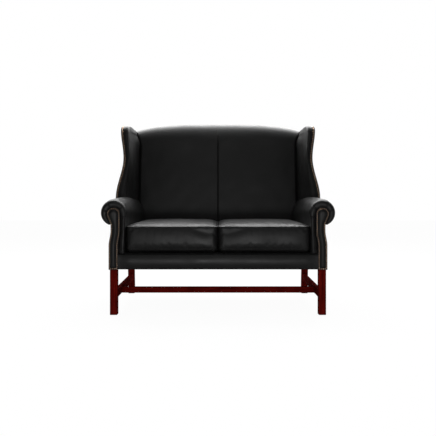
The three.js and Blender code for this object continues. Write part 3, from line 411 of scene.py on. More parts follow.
lining = cloth("black_lining", (0.003, 0.003, 0.003, 1), (0.014, 0.014, 0.014, 1), 0.0012, "XY")
jute = cloth("jute_webbing", (0.1, 0.065, 0.03, 1), (0.34, 0.25, 0.14, 1), 0.003, "XZ")
for name in ("seat_deck", "dust_cover"):
    paint_node(name, lining)
paint_node("back_webbing", jute)


# Outside back: one hide stretched over the back of the frame from wing to wing, turned in all round
# and blind tacked, so that its edges roll over softly and its middle stands a little proud.
rear_lean = 0.1228
outer_low, outer_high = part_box("outside_back")
back_low, back_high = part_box("inside_back_right")
panel_thickness = 0.005
edge_roll = 0.012
panel_swell = 0.0035
crest_drop = 0.045
crest_power = 3.5
crest_pad = 0.03
crest_gap = 0.003
shoulder_drop = 0.0529  # crest to the wings' rear ends

# Leather: a fine pebbled grain in cells about a millimetre across, creases where it has been handled,
# and slow changes of sheen, on a black that is a little lighter on top of the pebbles
skin, skin_in, skin_out = node_group(
    "leather skin",
    [("Vector", "Vector", None), ("Cell Size", "Float", 0.0013), ("Crease Size", "Float", 0.03),
     ("Dark", "Color", (0, 0, 0, 1)), ("Light", "Color", (1, 1, 1, 1))],
    [("Color", "Color"), ("Roughness Shift", "Float"), ("Grain", "Float"), ("Creases", "Float")])


def warped(tree, vector, noise_scale, noise_detail, amount):
    """A place pushed about by a coloured noise times an amount in metres, as a socket."""
    noise = add_node(tree, "TexNoise", {"Vector": vector, "Scale": noise_scale, "Detail": noise_detail})
    push = add_node(tree, "VectorMath", {0: noise.outputs["Color"], 1: (amount,) * 3}, operation="MULTIPLY")
    return add_node(tree, "VectorMath", {0: push.outputs[0], 1: vector}, operation="ADD").outputs[0]


cells = add_node(skin, "TexVoronoi", {
    "Vector": warped(skin, skin_in.outputs["Vector"], 140, 2, 0.0016),
    "Scale": arithmetic(skin, "DIVIDE", 1, skin_in.outputs["Cell Size"])}, feature="SMOOTH_F1")
pebbles = add_node(skin, "MapRange", {
    "Value": cells.outputs["Distance"], "From Min": 0.15, "From Max": 0.75, "To Min": 1, "To Max": 0})
lines = add_node(skin, "TexVoronoi", {
    "Vector": warped(skin, skin_in.outputs["Vector"], 22, 3, 0.03),
    "Scale": arithmetic(skin, "DIVIDE", 1, skin_in.outputs["Crease Size"])}, feature="DISTANCE_TO_EDGE")
crease = add_node(skin, "MapRange", {"Value": lines.outputs["Distance"], "From Min": 0, "From Max": 0.09})
mottle = add_node(skin, "TexNoise", {
    "Vector": skin_in.outputs["Vector"], "Scale": 7, "Detail": 4, "Roughness": 0.55})
tone = add_node(skin, "Mix", {
    0: arithmetic(skin, "MULTIPLY_ADD", pebbles.outputs[0], 0.35,
                  arithmetic(skin, "MULTIPLY", mottle.outputs["Fac"], 0.65)),
    6: skin_in.outputs["Dark"], 7: skin_in.outputs["Light"]}, data_type="RGBA")
connect(skin, skin_out, Color=tone.outputs[2], Grain=pebbles.outputs[0], Creases=crease.outputs[0],
        Roughness_Shift=arithmetic(skin, "MULTIPLY_ADD", mottle.outputs["Fac"], 0.4, -0.2))
leather_dark = (0.0015, 0.0015, 0.0015, 1)
leather_light = (0.004, 0.004, 0.004, 1)
leather_rough = 0.47


def leather(name, crease_strength):
    """Black leather: the skin group's colour and sheen, with its grain and creases as bumps."""
    material, tree, shader = new_material(name)
    hide = add_node(tree, "Group", {
        "Vector": object_place(tree), "Dark": leather_dark, "Light": leather_light}, node_tree=skin)
    folds = add_node(tree, "Bump", {
        "Height": hide.outputs["Creases"], "Strength": crease_strength, "Distance": 0.0006})
    fine = add_node(tree, "Bump", {
        "Height": hide.outputs["Grain"], "Strength": 0.3, "Distance": 0.00012,
        "Normal": folds.outputs[0]})
    connect(tree, shader, Base_Color=hide.outputs["Color"], Normal=fine.outputs[0],
            Roughness=arithmetic(tree, "ADD", hide.outputs["Roughness Shift"], leather_rough))
    return material


tight_leather = leather("black_leather_stretched", 0.05)
soft_leather = leather("black_leather_padded", 0.12)


def eased(low, high, value):
    """A smooth step from 0 to 1: 3tt - 2ttt, with t the share of the way from low to high."""
    t = np.clip((value - low) / (high - low), 0, 1)
    return t * t * (3 - 2 * t)


def unevenness(across, along, size, seed):
    """Hills and hollows about one size across, from -1 to 1: the mean of nine plane waves whose
    directions, lengths and phases are drawn from a seed."""
    draw = np.random.default_rng(seed)
    angle, phase = draw.uniform(0, 2 * np.pi, (2, 9))
    length = size * draw.uniform(0.7, 1.8, 9)
    run = across[..., None] * np.cos(angle) + along[..., None] * np.sin(angle)
    return np.sin(2 * np.pi * run / length + phase).mean(-1) * 1.6


def crest(across):
    """Height of the camel back: its middle, less a drop that grows with a power of the way out."""
    return back_high.z - crest_drop * (np.abs(across) / back_high.x) ** crest_power


def rear_plane(height):
    """Where the outside back's leather lies: it leans back with height."""
    return rear_bottom + (height - rake_height) * rear_lean


rear_bottom = outer_high.y - (outer_high.z - rake_height) * rear_lean


def outside_back_top(across):
    """Top edge of the outside back: under the camel back, and up to the wings' rear ends beside it."""
    middle = crest(across) - crest_pad - crest_gap
    return np.where(np.abs(across) <= back_high.x, middle, back_high.z - shoulder_drop)




def rolled_over(from_edge):
    """A quarter circle, for an edge that rolls over: 1 at the edge, 0 from one roll's width inwards."""
    return 1 - np.sqrt(1 - (1 - np.clip(from_edge, 0, 1)) ** 2)


def shell(outer, inner):
    """Rows that run along a piece's outer face and back along its inner one."""
    return np.concatenate([outer, inner[:, ::-1]], 1)


step_gap = 0.0004
back_ripple = 0.0009
middle_columns = np.linspace(-back_high.x, back_high.x, 90)
side_columns = np.linspace(back_high.x + step_gap, outer_high.x, 6)
panel_columns = np.concatenate([-side_columns[::-1], middle_columns, side_columns])
up = np.linspace(0, 1, 70)
across, share = np.meshgrid(panel_columns, up, indexing="ij")
height = outer_low.z + share * (outside_back_top(across) - outer_low.z)
from_side = (outer_high.x - np.abs(across)) / edge_roll
from_end = np.minimum(height - outer_low.z, (1 - share) * (outer_high.z - outer_low.z)) / edge_roll
rolled = rolled_over(np.minimum(from_side, from_end))
proud = panel_swell * np.sin(np.pi * share) * np.cos(np.pi / 2 * across / outer_high.x)
ripple = back_ripple * unevenness(across, height, 0.25, 3)
outer_face = rear_plane(height) + (proud + ripple) * (1 - rolled) - rolled * panel_thickness * 0.8
inner_face = rear_plane(height) - panel_thickness
panel = carry("outside_back_leather", shell(
    np.stack([across, outer_face, height], -1), np.stack([across, inner_face, height], -1)))
finish_piece(panel, tight_leather, "leather", "frame", "outside_back")


# Front border: leather drawn over wadding on the front rail, from under the cushions down to a turned
# edge below the rail, and tacked behind each arm facing.
border_low, border_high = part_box("front_border")
border_front, border_back = border_low.y, border_high.y
rail_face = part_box("front_rail")[0].y
border_top_round = 0.013
border_foot_round = 0.007
border_swell = 0.0105
border_dents = 0.0006
border_sag = 0.002  # its padding hangs a little below the rail
border_tuck = 0.0045  # how far its top and bottom edges lie behind the construction's
border_hem = rail_face - 0.0003  # its lower edge, turned in against the rail
border_lining = 0.0097  # its top's depth over the rail
border_columns = 180


def rounded_line(corners, radii, points_each=8, between=10):
    """A line through corners that are rounded: each is a quarter-like arc, taken as the quadratic curve
    that starts and ends one radius from the corner, with evenly spaced points on the straights."""
    corners = np.asarray(corners, float)
    radii = np.asarray(radii, float)[:, None]
    before = np.diff(corners[:-1], axis=0)
    after = np.diff(corners[1:], axis=0)
    before /= np.linalg.norm(before, axis=1, keepdims=True)
    after /= np.linalg.norm(after, axis=1, keepdims=True)
    starts = corners[1:-1] - before * radii
    ends = corners[1:-1] + after * radii
    t = np.linspace(0, 1, points_each)[:, None, None]
    arcs = (1 - t) ** 2 * starts + 2 * t * (1 - t) * corners[1:-1] + t ** 2 * ends
    entries = np.vstack([starts, corners[-1:]])
    exits = np.vstack([corners[:1], ends])
    s = np.linspace(0, 1, between + 2)[:-1, None, None]
    straights = (1 - s) * exits + s * entries
    parts = [straights[:, 0]]
    for i in range(len(starts)):
        parts += [arcs[:-1, i], straights[:, i + 1]]
    return np.vstack(parts + [corners[-1:]])


border_face = rounded_line(
    [(border_back, border_high.z), (border_front, border_high.z),
     (border_front, border_low.z - border_sag), (border_hem, border_low.z - border_sag)],
    [border_top_round, border_foot_round])
border_under = border_high.z - border_lining
border_inner = np.vstack([
    np.linspace((border_back, border_under), (border_hem, border_under), 12),
    np.linspace((border_hem, border_under - 0.001), (border_hem, border_low.z + 0.001),
                len(border_face) - 12)])
border_across = np.linspace(border_low.x, border_high.x, border_columns)
x, profile_y = np.meshgrid(border_across, border_face[:, 0], indexing="ij")
profile_z = 0 * x + border_face[:, 1]
belly = np.sin(np.pi * np.clip((profile_z - border_low.z) / (border_high.z - border_low.z), 0, 1))
to_end = np.clip((border_high.x - np.abs(x)) / 0.07, 0, 1)
fullness = border_swell * (0.45 + 0.55 * eased(0, 1, to_end))
in_front = eased(border_back, border_front + border_top_round, profile_y)
dents = border_dents * unevenness(x, profile_z, 0.12, 5)
swell = ((fullness + dents) * belly - border_tuck) * in_front
outer_rows = np.stack([x, profile_y - swell, profile_z], -1)
inner_rows = np.stack([x, 0 * x + border_inner[:, 0], 0 * x + border_inner[:, 1]], -1)
border = carry("front_border_leather", shell(outer_rows, inner_rows))
finish_piece(border, soft_leather, "leather", "frame", "front_border")


# Inside back: two padded leather panels that meet at a seam down the middle, drawn over the camel
# top and down behind it. Their side edges fall back behind the wings.
deck_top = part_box("seat_deck")[1].z
back_lean = 0.1853
back_crown = 0.015
back_crown_power = 1.6  # puts most of the crown above the middle
back_flare = 0.03
crest_lean = 0.93  # how fully it leans with the crown where the rounding starts
crest_round = 0.125  # height of the rounding
crest_knee = 0.052
crest_flat = 0.062
crest_rear_round = 0.02
seam_depth = 0.001
seam_spread = 0.012
seam_nip = 0.003
seam_nip_spread = 0.0022
side_fall = 0.01
back_round = 0.014  # how far its sides fall back
back_soft, back_dents = 0.0022, 0.0008  # broad and small unevenness
pad_back_gap = 0.0482  # outer leather to the back of this padding
back_foot = back_low.y
back_rise = back_high.z - deck_top


def back_face(height):
    """Where the inside back's face lies: it leans back with height, less half a sine of a power of it."""
    share = np.clip((height - deck_top) / back_rise, 0, 1)
    crown = back_crown * np.sin(np.pi * share ** back_crown_power)
    return back_foot + (height - deck_top) * back_lean - crown


def back_half_width(height):
    """Half the width of the inside back, which flares smoothly into the camel top."""
    flare = eased(back_high.z - crest_drop * 3.3, back_high.z - crest_drop, height)
    return back_high.x - back_flare * (1 - flare)


def cubic(t, start, first, second, end):
    """A cubic curve from start to end, drawn towards a first and a second point on its way."""
    return (1 - t) ** 3 * start + 3 * (1 - t) ** 2 * t * first + 3 * (1 - t) * t ** 2 * second + t ** 3 * end


def inside_back(seed):
    """Rows across the panel; each goes up the face, over the crest on a cubic curve and an arc, and
    down behind."""
    share = np.concatenate([
        np.linspace(0, 0.02, 10)[:-1], np.linspace(0.02, 0.9, 60)[:-1], np.linspace(0.9, 1, 16)])[:, None]
    from_seam = share * back_high.x
    top = crest(from_seam)
    slope = np.arctan(back_lean + back_crown * back_crown_power * crest_lean * np.pi / back_rise)
    face_top = top - crest_round * (1 - share / 4)
    up = np.linspace(0, 1, 90)
    face_z = back_low.z + up * (face_top - back_low.z)
    from_edge = (back_high.x - from_seam) / (2 * side_fall)
    fall = (seam_depth * (1 - eased(0, seam_spread, from_seam))
            + seam_nip * np.exp(-(from_seam / seam_nip_spread) ** 2)
            + back_round * share ** 4 + side_fall * (1 - eased(0, 1, from_edge)) ** 2)
    wide = from_seam + 0 * face_z
    soft = (back_soft * unevenness(wide, face_z, 0.34, seed)
            + back_dents * unevenness(wide, face_z, 0.09, seed + 1))
    face_y = back_face(face_z) + fall - soft * np.sin(np.pi * up) ** 0.5
    along = np.linspace(0, 1, 22)[1:]
    crest_y = rear_plane(top) - crest_rear_round
    knee_y = face_y[:, -1:] + crest_knee * np.sin(slope)
    knee_z = face_top + crest_knee * np.cos(slope)
    arc_y = cubic(along, face_y[:, -1:], knee_y, crest_y - crest_flat, crest_y)
    arc_z = cubic(along, face_top, knee_z, top, top)
    turn = np.linspace(np.pi / 2, 0, 8)[1:]
    rear_y = rear_plane(top) - crest_rear_round + crest_rear_round * np.cos(turn)
    rear_z = top - crest_rear_round + crest_rear_round * np.sin(turn)
    under = top - crest_pad
    behind_y = rear_plane(under)
    inner_z = under + np.linspace(0, 1, face_z.shape[1] + 5) * (back_low.z - under)
    inner_y = rear_plane(inner_z) - pad_back_gap
    y = np.concatenate([face_y, arc_y, rear_y, behind_y, inner_y], 1)
    z = np.concatenate([face_z, arc_z, rear_z, under, inner_z], 1)
    return np.stack([back_half_width(z) * share, y, z], -1)


make_pair("inside_back_panel", "inside_back", inside_back, soft_leather, "leather", seed=11)


# Arm facings: keyhole-shaped boards padded and covered in leather, nailed on over the front of each
# arm. They dome between the nails, which pull their margin down.
facing_low, facing_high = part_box("arm_facing_right")
body_half_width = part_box("outside_arm_right")[1].x
facing_edge = 0.001
facing_width = 0.052
head_radius = 0.037
head_x = body_half_width - 0.0274
head_z = facing_high.z - head_radius
join_angle = np.radians(-28)
ogee_shift = 0.011
ogee_low, ogee_high = 0.388, 0.47
neck_z = 0.505
facing_front = facing_low.y + 0.003  # its flat margin
facing_dome = 0.0105
facing_ridge = 0.3  # roundness of the dome's middle
facing_dome_width = 0.019  # from the nails in to its middle
facing_rim = 0.0022
facing_rim_width = 0.002
nail_inset = 0.006
nail_dip = 0.0014
nail_dip_width = 0.004


def ogee(height):
    """Sideways shift of the arm's outer edge: a smooth step between two heights."""
    return ogee_shift * eased(ogee_low, ogee_high, height)


def facing_outline(inset, count):
    """The facing's edge drawn in by an inset: up the outer side, round the head, down the inner side,
    with count points, closed along the bottom."""
    bottom = facing_low.z + inset
    rise = np.linspace(bottom, neck_z, count // 4)
    outer = np.column_stack([body_half_width - facing_edge - ogee(rise) - inset, rise])
    angle = np.linspace(join_angle, np.pi, count // 4)
    head = np.column_stack([head_x + (head_radius - inset) * np.cos(angle),
                            head_z + (head_radius - inset) * np.sin(angle)])
    t = np.linspace(0, 1, count // 12 + 2)[1:-1, None]
    neck = (1 - t) * outer[-1] + t * head[0]
    fall = np.linspace(head_z, bottom, count // 3)[1:]
    inner = np.column_stack([body_half_width - facing_edge - facing_width - ogee(fall) + inset, fall])
    base = np.linspace(inner[-1], outer[0], count - len(outer) - len(neck) - len(head) - len(inner) + 2)
    return np.vstack([outer, neck, head, inner, base[1:-1]])


def distance_to(outline, points):
    """Distance of each point of a grid to the nearest of an outline's points."""
    apart = points[..., None, :] - outline
    return np.sqrt((apart ** 2).sum(-1)).min(-1)


def facing_rows():
    """Front and back of a facing: rows up its height, points from its outer to its inner edge. The
    front rises from the rim, dips at the nails, then domes as a quarter sine of the way in."""
    lower = np.linspace(facing_low.z, head_z, 130)[:-1]
    turn = np.linspace(0, np.pi / 2, 40)
    height = np.concatenate([lower, head_z + head_radius * np.sin(turn)])[:, None]
    join_z = head_z + head_radius * np.sin(join_angle)
    circle = np.sqrt(np.clip(head_radius ** 2 - (height - head_z) ** 2, 0, None))
    join_x = head_x + head_radius * np.cos(join_angle)
    neck_x = body_half_width - facing_edge - ogee(height)
    diagonal = neck_x + (join_x - neck_x) * np.clip((height - neck_z) / (join_z - neck_z), 0, 1)
    outer = np.where(height > join_z, head_x + circle, diagonal)
    inner = np.where(height > head_z, head_x - circle, neck_x - facing_width)
    share = 0.5 - 0.5 * np.cos(np.linspace(0, np.pi, 32))
    x = outer + (inner - outer) * share
    z = np.broadcast_to(height, x.shape)
    inset = distance_to(facing_outline(0, 480), np.stack([x, z], -1))
    rim = facing_rim * (1 - np.clip(inset / facing_rim_width, 0, 1)) ** 2
    dip = nail_dip * np.exp(-((inset - nail_inset) / nail_dip_width) ** 2)
    to_middle = 1 - np.clip((inset - nail_inset - 0.001) / facing_dome_width, 0, 1)
    dome = facing_dome * (np.hypot(1, facing_ridge) - np.hypot(to_middle, facing_ridge)) / (
        np.hypot(1, facing_ridge) - facing_ridge)
    front = facing_front + rim + dip - dome
    return shell(np.stack([x, front, z], -1), np.stack([x, facing_high.y + 0 * x, z], -1))


make_pair("arm_facing_leather", "arm_facing", facing_rows(), soft_leather, "leather", sharp_angle=60)


# Nails: round-headed upholstery nails of antiqued brass, driven edge to edge round each facing. Age
# has browned them, and rubbed the tops of their heads brighter.
nail_pitch = 0.0111
nail_radius = 0.0042
nail_height = 0.0029
antique = metal("antique_brass_nails", 420, 4, (0.3, (0.42, 0.27, 0.18, 1)), (0.62, (0.9, 0.66, 0.5, 1)),
                -0.3, 0.42)


def distances(line):
    """How far along a line each of its points lies."""
    return np.concatenate([[0], np.cumsum(np.linalg.norm(np.diff(line[:, :3], axis=0), axis=1))])


def points_at(line, places):
    """The points of a line at places along it; what follows the place in a row is carried along."""
    run = distances(line)
    return np.column_stack([np.interp(places, run, line[:, k]) for k in range(line.shape[1])])


def stations(line, pitch):
    """Places spaced evenly along a line, as near to the pitch as a whole number of them allows."""
    length = distances(line)[-1]
    count = round(length / pitch)
    return points_at(line, (np.arange(count) + 0.5) / count * length)


def nail_heads(name, centres, outwards):
    """Domes on a line of centres: rings of nine points whose radius falls as a cosine while their
    height rises as a sine, over a flat base, each standing along its own outward direction."""
    ring = np.arange(9) / 9 * 2 * np.pi
    rise = np.radians([0, 30, 60, 90])
    helper = np.cross(outwards, (1, 0, 0)) + np.cross(outwards, (0, 0, 1)) * 0.01
    first = helper / np.linalg.norm(helper, axis=1, keepdims=True)
    second = np.cross(outwards, first)
    radial = (first[:, None] * np.cos(ring)[:, None] + second[:, None] * np.sin(ring)[:, None])
    dome = (centres[:, None, None] + nail_radius * np.cos(rise)[:, None, None] * radial[:, None]
            + nail_height * np.sin(rise)[:, None, None] * outwards[:, None, None])
    count = len(centres)
    index = np.arange(count * 36).reshape(count, 4, 9)
    beside = np.roll(index, -1, axis=2)
    sides_of = np.stack([index[:, :-1], beside[:, :-1], beside[:, 1:], index[:, 1:]], -1).reshape(-1, 4)
    faces = sides_of.tolist() + index[:, 0, ::-1].tolist()
    return build(name, dome.reshape(-1, 3), faces, sharp_angle=70)


nail_line = facing_outline(nail_inset, 480)
nail_places = stations(np.vstack([nail_line, nail_line[:1]]), nail_pitch)
for side, sign in sides:
    centres = np.column_stack([
        nail_places[:, 0] * sign, np.full(len(nail_places), facing_front + 0.0006), nail_places[:, 1]])
    toward = np.broadcast_to([0.0, -1.0, 0.0], centres.shape)
    nails = nail_heads("facing_nail_heads_" + side, centres, toward)
    finish_piece(nails, antique, "nails", "frame", "facing_nails_" + side)


# Inside arms: one hide from the seat up the padded inside of the arm, over the scroll board and round
# under it to the outside, where it is tacked. The scroll grows a little towards the back.
arm_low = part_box("inside_arm_right")[0]
board_low, board_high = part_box("arm_board_right")
front_plane = cad_low.y
seat_depth = back_foot - front_plane
seat_half_width = body_half_width - 0.0915
arm_splay = 0.031
roll_x = body_half_width - 0.0275
roll_z = 0.57
roll_radius = 0.072
roll_rise = 0.004
roll_grow = 0.004
roll_start, roll_end = np.radians([150, -69])
roll_waist = 0.62  # depth below its centre, in radii, at which the straight inside ends
arm_skin = 0.005
frame_gap = 0.0053  # outer leather of the back to the frame behind it


def arm_profile(setback, count):
    """Arm surface at setbacks behind the front leather, as (across, height) rows of count points: up
    the inside, then a smooth curve into the scroll's circle, and round it to the outside."""
    share = setback[:, None] / seat_depth
    inner = seat_half_width - arm_splay * share
    centre = roll_z + roll_rise * share
    radius = roll_radius + roll_grow * share
    straight = count // 5
    blend = count // 6
    waist = centre - radius * roll_waist
    rise = np.linspace(0, 1, straight)[:-1]
    z_up = arm_low.z + rise * (waist - arm_low.z)
    x_up = inner + 0 * z_up
    start_x = roll_x + radius * np.cos(roll_start)
    start_z = centre + radius * np.sin(roll_start)
    t = np.linspace(0, 1, blend)[:-1]
    reach = start_z - waist
    aim_x = start_x - reach * 0.55 * np.sin(roll_start)
    aim_z = start_z + reach * 0.55 * np.cos(roll_start)
    x_blend = cubic(t, inner, inner, aim_x, start_x)
    z_blend = cubic(t, waist, waist + reach * 0.4, aim_z, start_z)
    angle = np.linspace(roll_start, roll_end, count - len(rise) - len(t))
    x_roll = roll_x + radius * np.cos(angle)
    z_roll = centre + radius * np.sin(angle)
    return np.concatenate([x_up, x_blend, x_roll], 1), np.concatenate([z_up, z_blend, z_roll], 1)


def frame_rear(height):
    """Rear face of the frame, in front of the outside back's leather."""
    return rear_plane(height) - frame_gap


roll_depth = 0.022
arm_fullness = 0.005
gather_depth = 0.0028
gather_run = 0.07
gather_count = 9  # in a full turn round the scroll
arm_dents = 0.0011
arm_points = 150
pad_front = arm_low.y - front_plane
arm_stops = np.concatenate([
    pad_front + np.array([0, 0.002, 0.006, 0.012]), np.linspace(0.05, seat_depth, 40)])
board_gap = 0.0003
arm_hollow = np.array([
    (body_half_width - facing_edge - ogee_shift + arm_skin / 2, neck_z),
    (board_high.x + board_gap, board_low.z), (board_high.x + board_gap, board_high.z + board_gap),
    (board_low.x - board_gap, board_high.z + board_gap), (board_low.x - board_gap, arm_low.z)])
arm_hollow = points_at(arm_hollow, np.linspace(0, distances(arm_hollow)[-1], arm_points))


def inside_arm(seed):
    """Rows from front to back; each is the arm's profile, then its hollow over the board. It is fullest
    on top, in a bell-shaped curve, and the gathers are a cosine that dies away behind the roll."""
    x, z = arm_profile(arm_stops, arm_points)
    y = np.broadcast_to(front_plane + arm_stops[:, None], x.shape)
    inwards = np.stack([x - roll_x, z - roll_z], -1)
    inwards /= np.linalg.norm(inwards, axis=-1, keepdims=True)
    around = np.linspace(0, 0.5, arm_points) + 0 * y
    turned = np.arctan2(inwards[..., 1], inwards[..., 0])
    behind = arm_stops[:, None] - roll_depth
    full = arm_fullness * np.exp(-((turned - np.pi / 2) / 0.9) ** 2) * eased(0, 0.05, behind)
    gathers = gather_depth * np.cos((turned - 1.15) * gather_count + behind * 14)
    gathers = gathers * np.exp(-((turned - 1.6) / 0.75) ** 2)
    gathers = gathers * np.exp(-behind / gather_run) * eased(0, 0.012, behind)
    held = np.sin(np.pi * np.linspace(0, 1, arm_points)) ** 0.4
    soft = arm_dents * unevenness(y, around, 0.16, seed) * held + full + gathers
    x = x + inwards[..., 0] * soft
    z = z + inwards[..., 1] * soft
    rear_x, rear_z = arm_profile(np.array([seat_depth * 1.33]), arm_points)
    x, y, z = np.vstack([x, rear_x]), np.vstack([y, frame_rear(rear_z)]), np.vstack([z, rear_z])
    hollow_x, hollow_z = 0 * x + arm_hollow[:, 0], 0 * x + arm_hollow[:, 1]
    hollow_y = np.vstack([y[:-1], frame_rear(arm_hollow[None, :, 1])])
    return np.concatenate([np.stack([x, y, z], -1), np.stack([hollow_x, hollow_y, hollow_z], -1)], 1)


make_pair("inside_arm_leather", "inside_arm", inside_arm, soft_leather, "leather", sharp_angle=55, seed=21)


# Arm borders: a roll of leather gathered round the front of each arm, from the seat up the inside,
# over the scroll and down to the neck. Pleats take in its fullness where it goes round the head.
roll_recess = 0.0135  # how far the roll falls back beside the facing
roll_shoulder = 0.02  # how far it falls back at the outside of the arm
roll_ridge, roll_ridge_shift = 0.47, 0.2  # share of the way across it to its ridge, and more low down
roll_foot_bump = 0.004
roll_dents = 0.0006
roll_set_back = 0.0006
pleat_angles = np.radians([205, 140, 62, 22])
pleat_width = np.radians(3.6)
pleat_depth = 0.0035
border_foot = border_high.z + 0.0003
border_points = 320


def arm_border(seed):
    """Rows round the arm; each goes from beside the facing over a roll, which is half an ellipse, to
    the arm's outside, then back and under. Pleats are narrow dips at set angles round the head."""
    x, z = arm_profile(np.array([roll_depth]), border_points)
    x, z = x[0], np.maximum(z[0], border_foot)
    angle = np.arctan2(z - head_z, x - head_x)
    below = (x < head_x) & (z < head_z)
    turned = np.clip((join_angle - angle) / (join_angle - roll_end), 0, 1)
    join_x = head_x + head_radius * np.cos(join_angle)
    join_z = head_z + head_radius * np.sin(join_angle)
    neck_x = body_half_width - facing_edge - ogee(neck_z)
    on_head = angle >= join_angle
    near_x = np.where(on_head, head_x + head_radius * np.cos(angle), join_x + (neck_x - join_x) * turned)
    near_z = np.where(on_head, head_z + head_radius * np.sin(angle), join_z + (neck_z - join_z) * turned)
    near_x = np.where(below, body_half_width - facing_edge - facing_width - ogee(z), near_x)
    near_z = np.where(below, z, near_z)
    turn = np.linspace(0, np.pi, 36)
    upright_part = eased(head_z + 0.03, head_z - 0.03, z) * (x < head_x)
    ridge = roll_ridge + roll_ridge_shift * upright_part[:, None]
    share = (0.5 - 0.5 * np.cos(turn)) ** (np.log(ridge) / np.log(0.5))
    fall = np.where(turn < np.pi / 2, roll_recess, roll_shoulder)
    depth = fall * (1 - np.sin(turn))
    full_angle = np.where(below, np.pi + (head_z - z) / head_radius, angle)
    pleats = sum(np.exp(-((full_angle - place) / pleat_width) ** 2) for place in pleat_angles)
    foot_bump = roll_foot_bump * np.exp(-((z - border_foot - 0.02) / 0.016) ** 2) * below
    plump = foot_bump + roll_dents * unevenness(full_angle * head_radius, z * 0, 0.05, seed)
    across_roll = np.sin(turn)
    sunk = (pleat_depth * pleats - plump)[:, None] * across_roll
    front_y = front_plane + depth + sunk + roll_set_back
    front_x = near_x[:, None] + (x - near_x)[:, None] * share
    front_z = near_z[:, None] + (z - near_z)[:, None] * share
    back_share = np.linspace(1, 0, 36)
    back_x = near_x[:, None] + (x - near_x)[:, None] * back_share
    back_z = near_z[:, None] + (z - near_z)[:, None] * back_share
    back_y = np.full(back_x.shape, front_plane + roll_depth)
    return np.concatenate([
        np.stack([front_x, front_y, front_z], -1), np.stack([back_x, back_y, back_z], -1)], 1)


make_pair("arm_border_leather", "arm_border", arm_border, soft_leather, "leather", sharp_angle=65, seed=31)


# Outside arms: flat leather from the neck of the scroll down over the side rail, following the ogee
# of the facing, turned under the rail and nailed behind the facing's edge.
outside_low, outside_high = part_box("outside_arm_right")
outside_swell = 0.0012
outside_ripple = 0.0005
foot_turn = 0.006
neck_tuck = 0.004  # how far its top goes up behind the scroll


def outside_arm(seed):
    """Rows from front to back; each is the outer face up the arm, then the inner face down again."""
    up = np.linspace(0, 1, 60)
    height = outside_low.z + up * (outside_high.z + neck_tuck - outside_low.z)
    along = np.linspace(0, 1, 70)[:, None]
    y = outside_low.y + along * (frame_rear(height) - outside_low.y)
    z = np.broadcast_to(height, y.shape)
    turned = foot_turn * rolled_over((z - outside_low.z) / foot_turn)
    soft = (outside_swell * np.sin(np.pi * up) * np.sin(np.pi * along)
            + outside_ripple * unevenness(y, z, 0.2, seed))
    face = body_half_width - ogee(z) - turned * 0.7
    outer = np.stack([face + soft * np.sin(np.pi * np.clip(along * 8, 0, 0.5)), y, z], -1)
    return shell(outer, np.stack([body_half_width - ogee(z) - arm_skin, y, z], -1))


make_pair("outside_arm_leather", "outside_arm", outside_arm, tight_leather, "leather", seed=41)


# Inside wings: padding over a bent beech board, rolled forward along its front edge and covered with one
# hide that tucks in behind the inside back. A strip at its outer edge is left flat for the nails.
# Each wing leans out at its foot, in at its waist and out again at its ear.
wing_face_x = body_half_width + 0.003
wing_skin = 0.0043  # outside wing's leather
wing_outer = wing_face_x - wing_skin
wing_foot_y = front_plane + 0.345
wing_foot_z = 0.62
wing_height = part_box("outside_wing_right")[1].z - wing_foot_z
wing_depth = frame_rear(wing_foot_z + wing_height) - 0.0064 - wing_foot_y
wing_tuck = 0.022
wing_shoulder = 0.017
wing_rear_ease = 0.006
wing_edge_thickness = 0.05
wing_side_swell = 0.01
wing_board_thickness = 0.0223
wing_board_inset = 0.012
wing_foot_flare = 0.017
wing_waist_draw = 0.022
wing_ear_flare = 0.02
wing_bend_heights = 0.66, 0.892, 1.085
wing_bend_inner, wing_bend_width = 0.526, 0.0604  # across, from where the wing isn't bent to where it is
wing_bend_front, wing_bend_rear = front_plane + 0.42, front_plane + 0.64
wing_dents = 0.0008
wing_roll = np.array([
    [0, 0.0006], [0.005, 0.0006], [0.0105, 0.0006], [0.0125, -0.002], [0.018, -0.0065],
    [0.026, -0.0095], [0.035, -0.0095], [0.0435, -0.0055], [0.049, 0.0045], [0.0525, 0.021]])
wing_edge_shares = np.array([
    [0, 0], [0.005, 0.052], [0.018, 0.108], [0.039, 0.178], [0.062, 0.266], [0.084, 0.365],
    [0.105, 0.469], [0.121, 0.573], [0.135, 0.676], [0.146, 0.772], [0.153, 0.842], [0.162, 0.896],
    [0.18, 0.942], [0.219, 0.977], [0.281, 0.997], [0.4, 1], [0.596, 0.992], [0.802, 0.987], [1, 0.983]])
wing_join_shares = np.array([0, 0.13, 0.27, 0.42, 0.6, 0.8, 1])


def smooth_line(points, count):
    """A curve through points, evenly shared out among them: on each stretch the cubic whose slope at a
    point is half the way between that point's neighbours."""
    points = np.asarray(points, float)
    padded_points = np.vstack([2 * points[:1] - points[1:2], points, 2 * points[-1:] - points[-2:-1]])
    place = np.linspace(0, len(points) - 1, count)
    first = np.minimum(place.astype(int), len(points) - 2)
    t = (place - first)[:, None]
    a, b, c, d = (padded_points[first + k] for k in range(4))
    return 0.5 * (2 * b + (c - a) * t + (2 * a - 5 * b + 4 * c - d) * t ** 2
                  + (3 * b - a - 3 * c + d) * t ** 3)


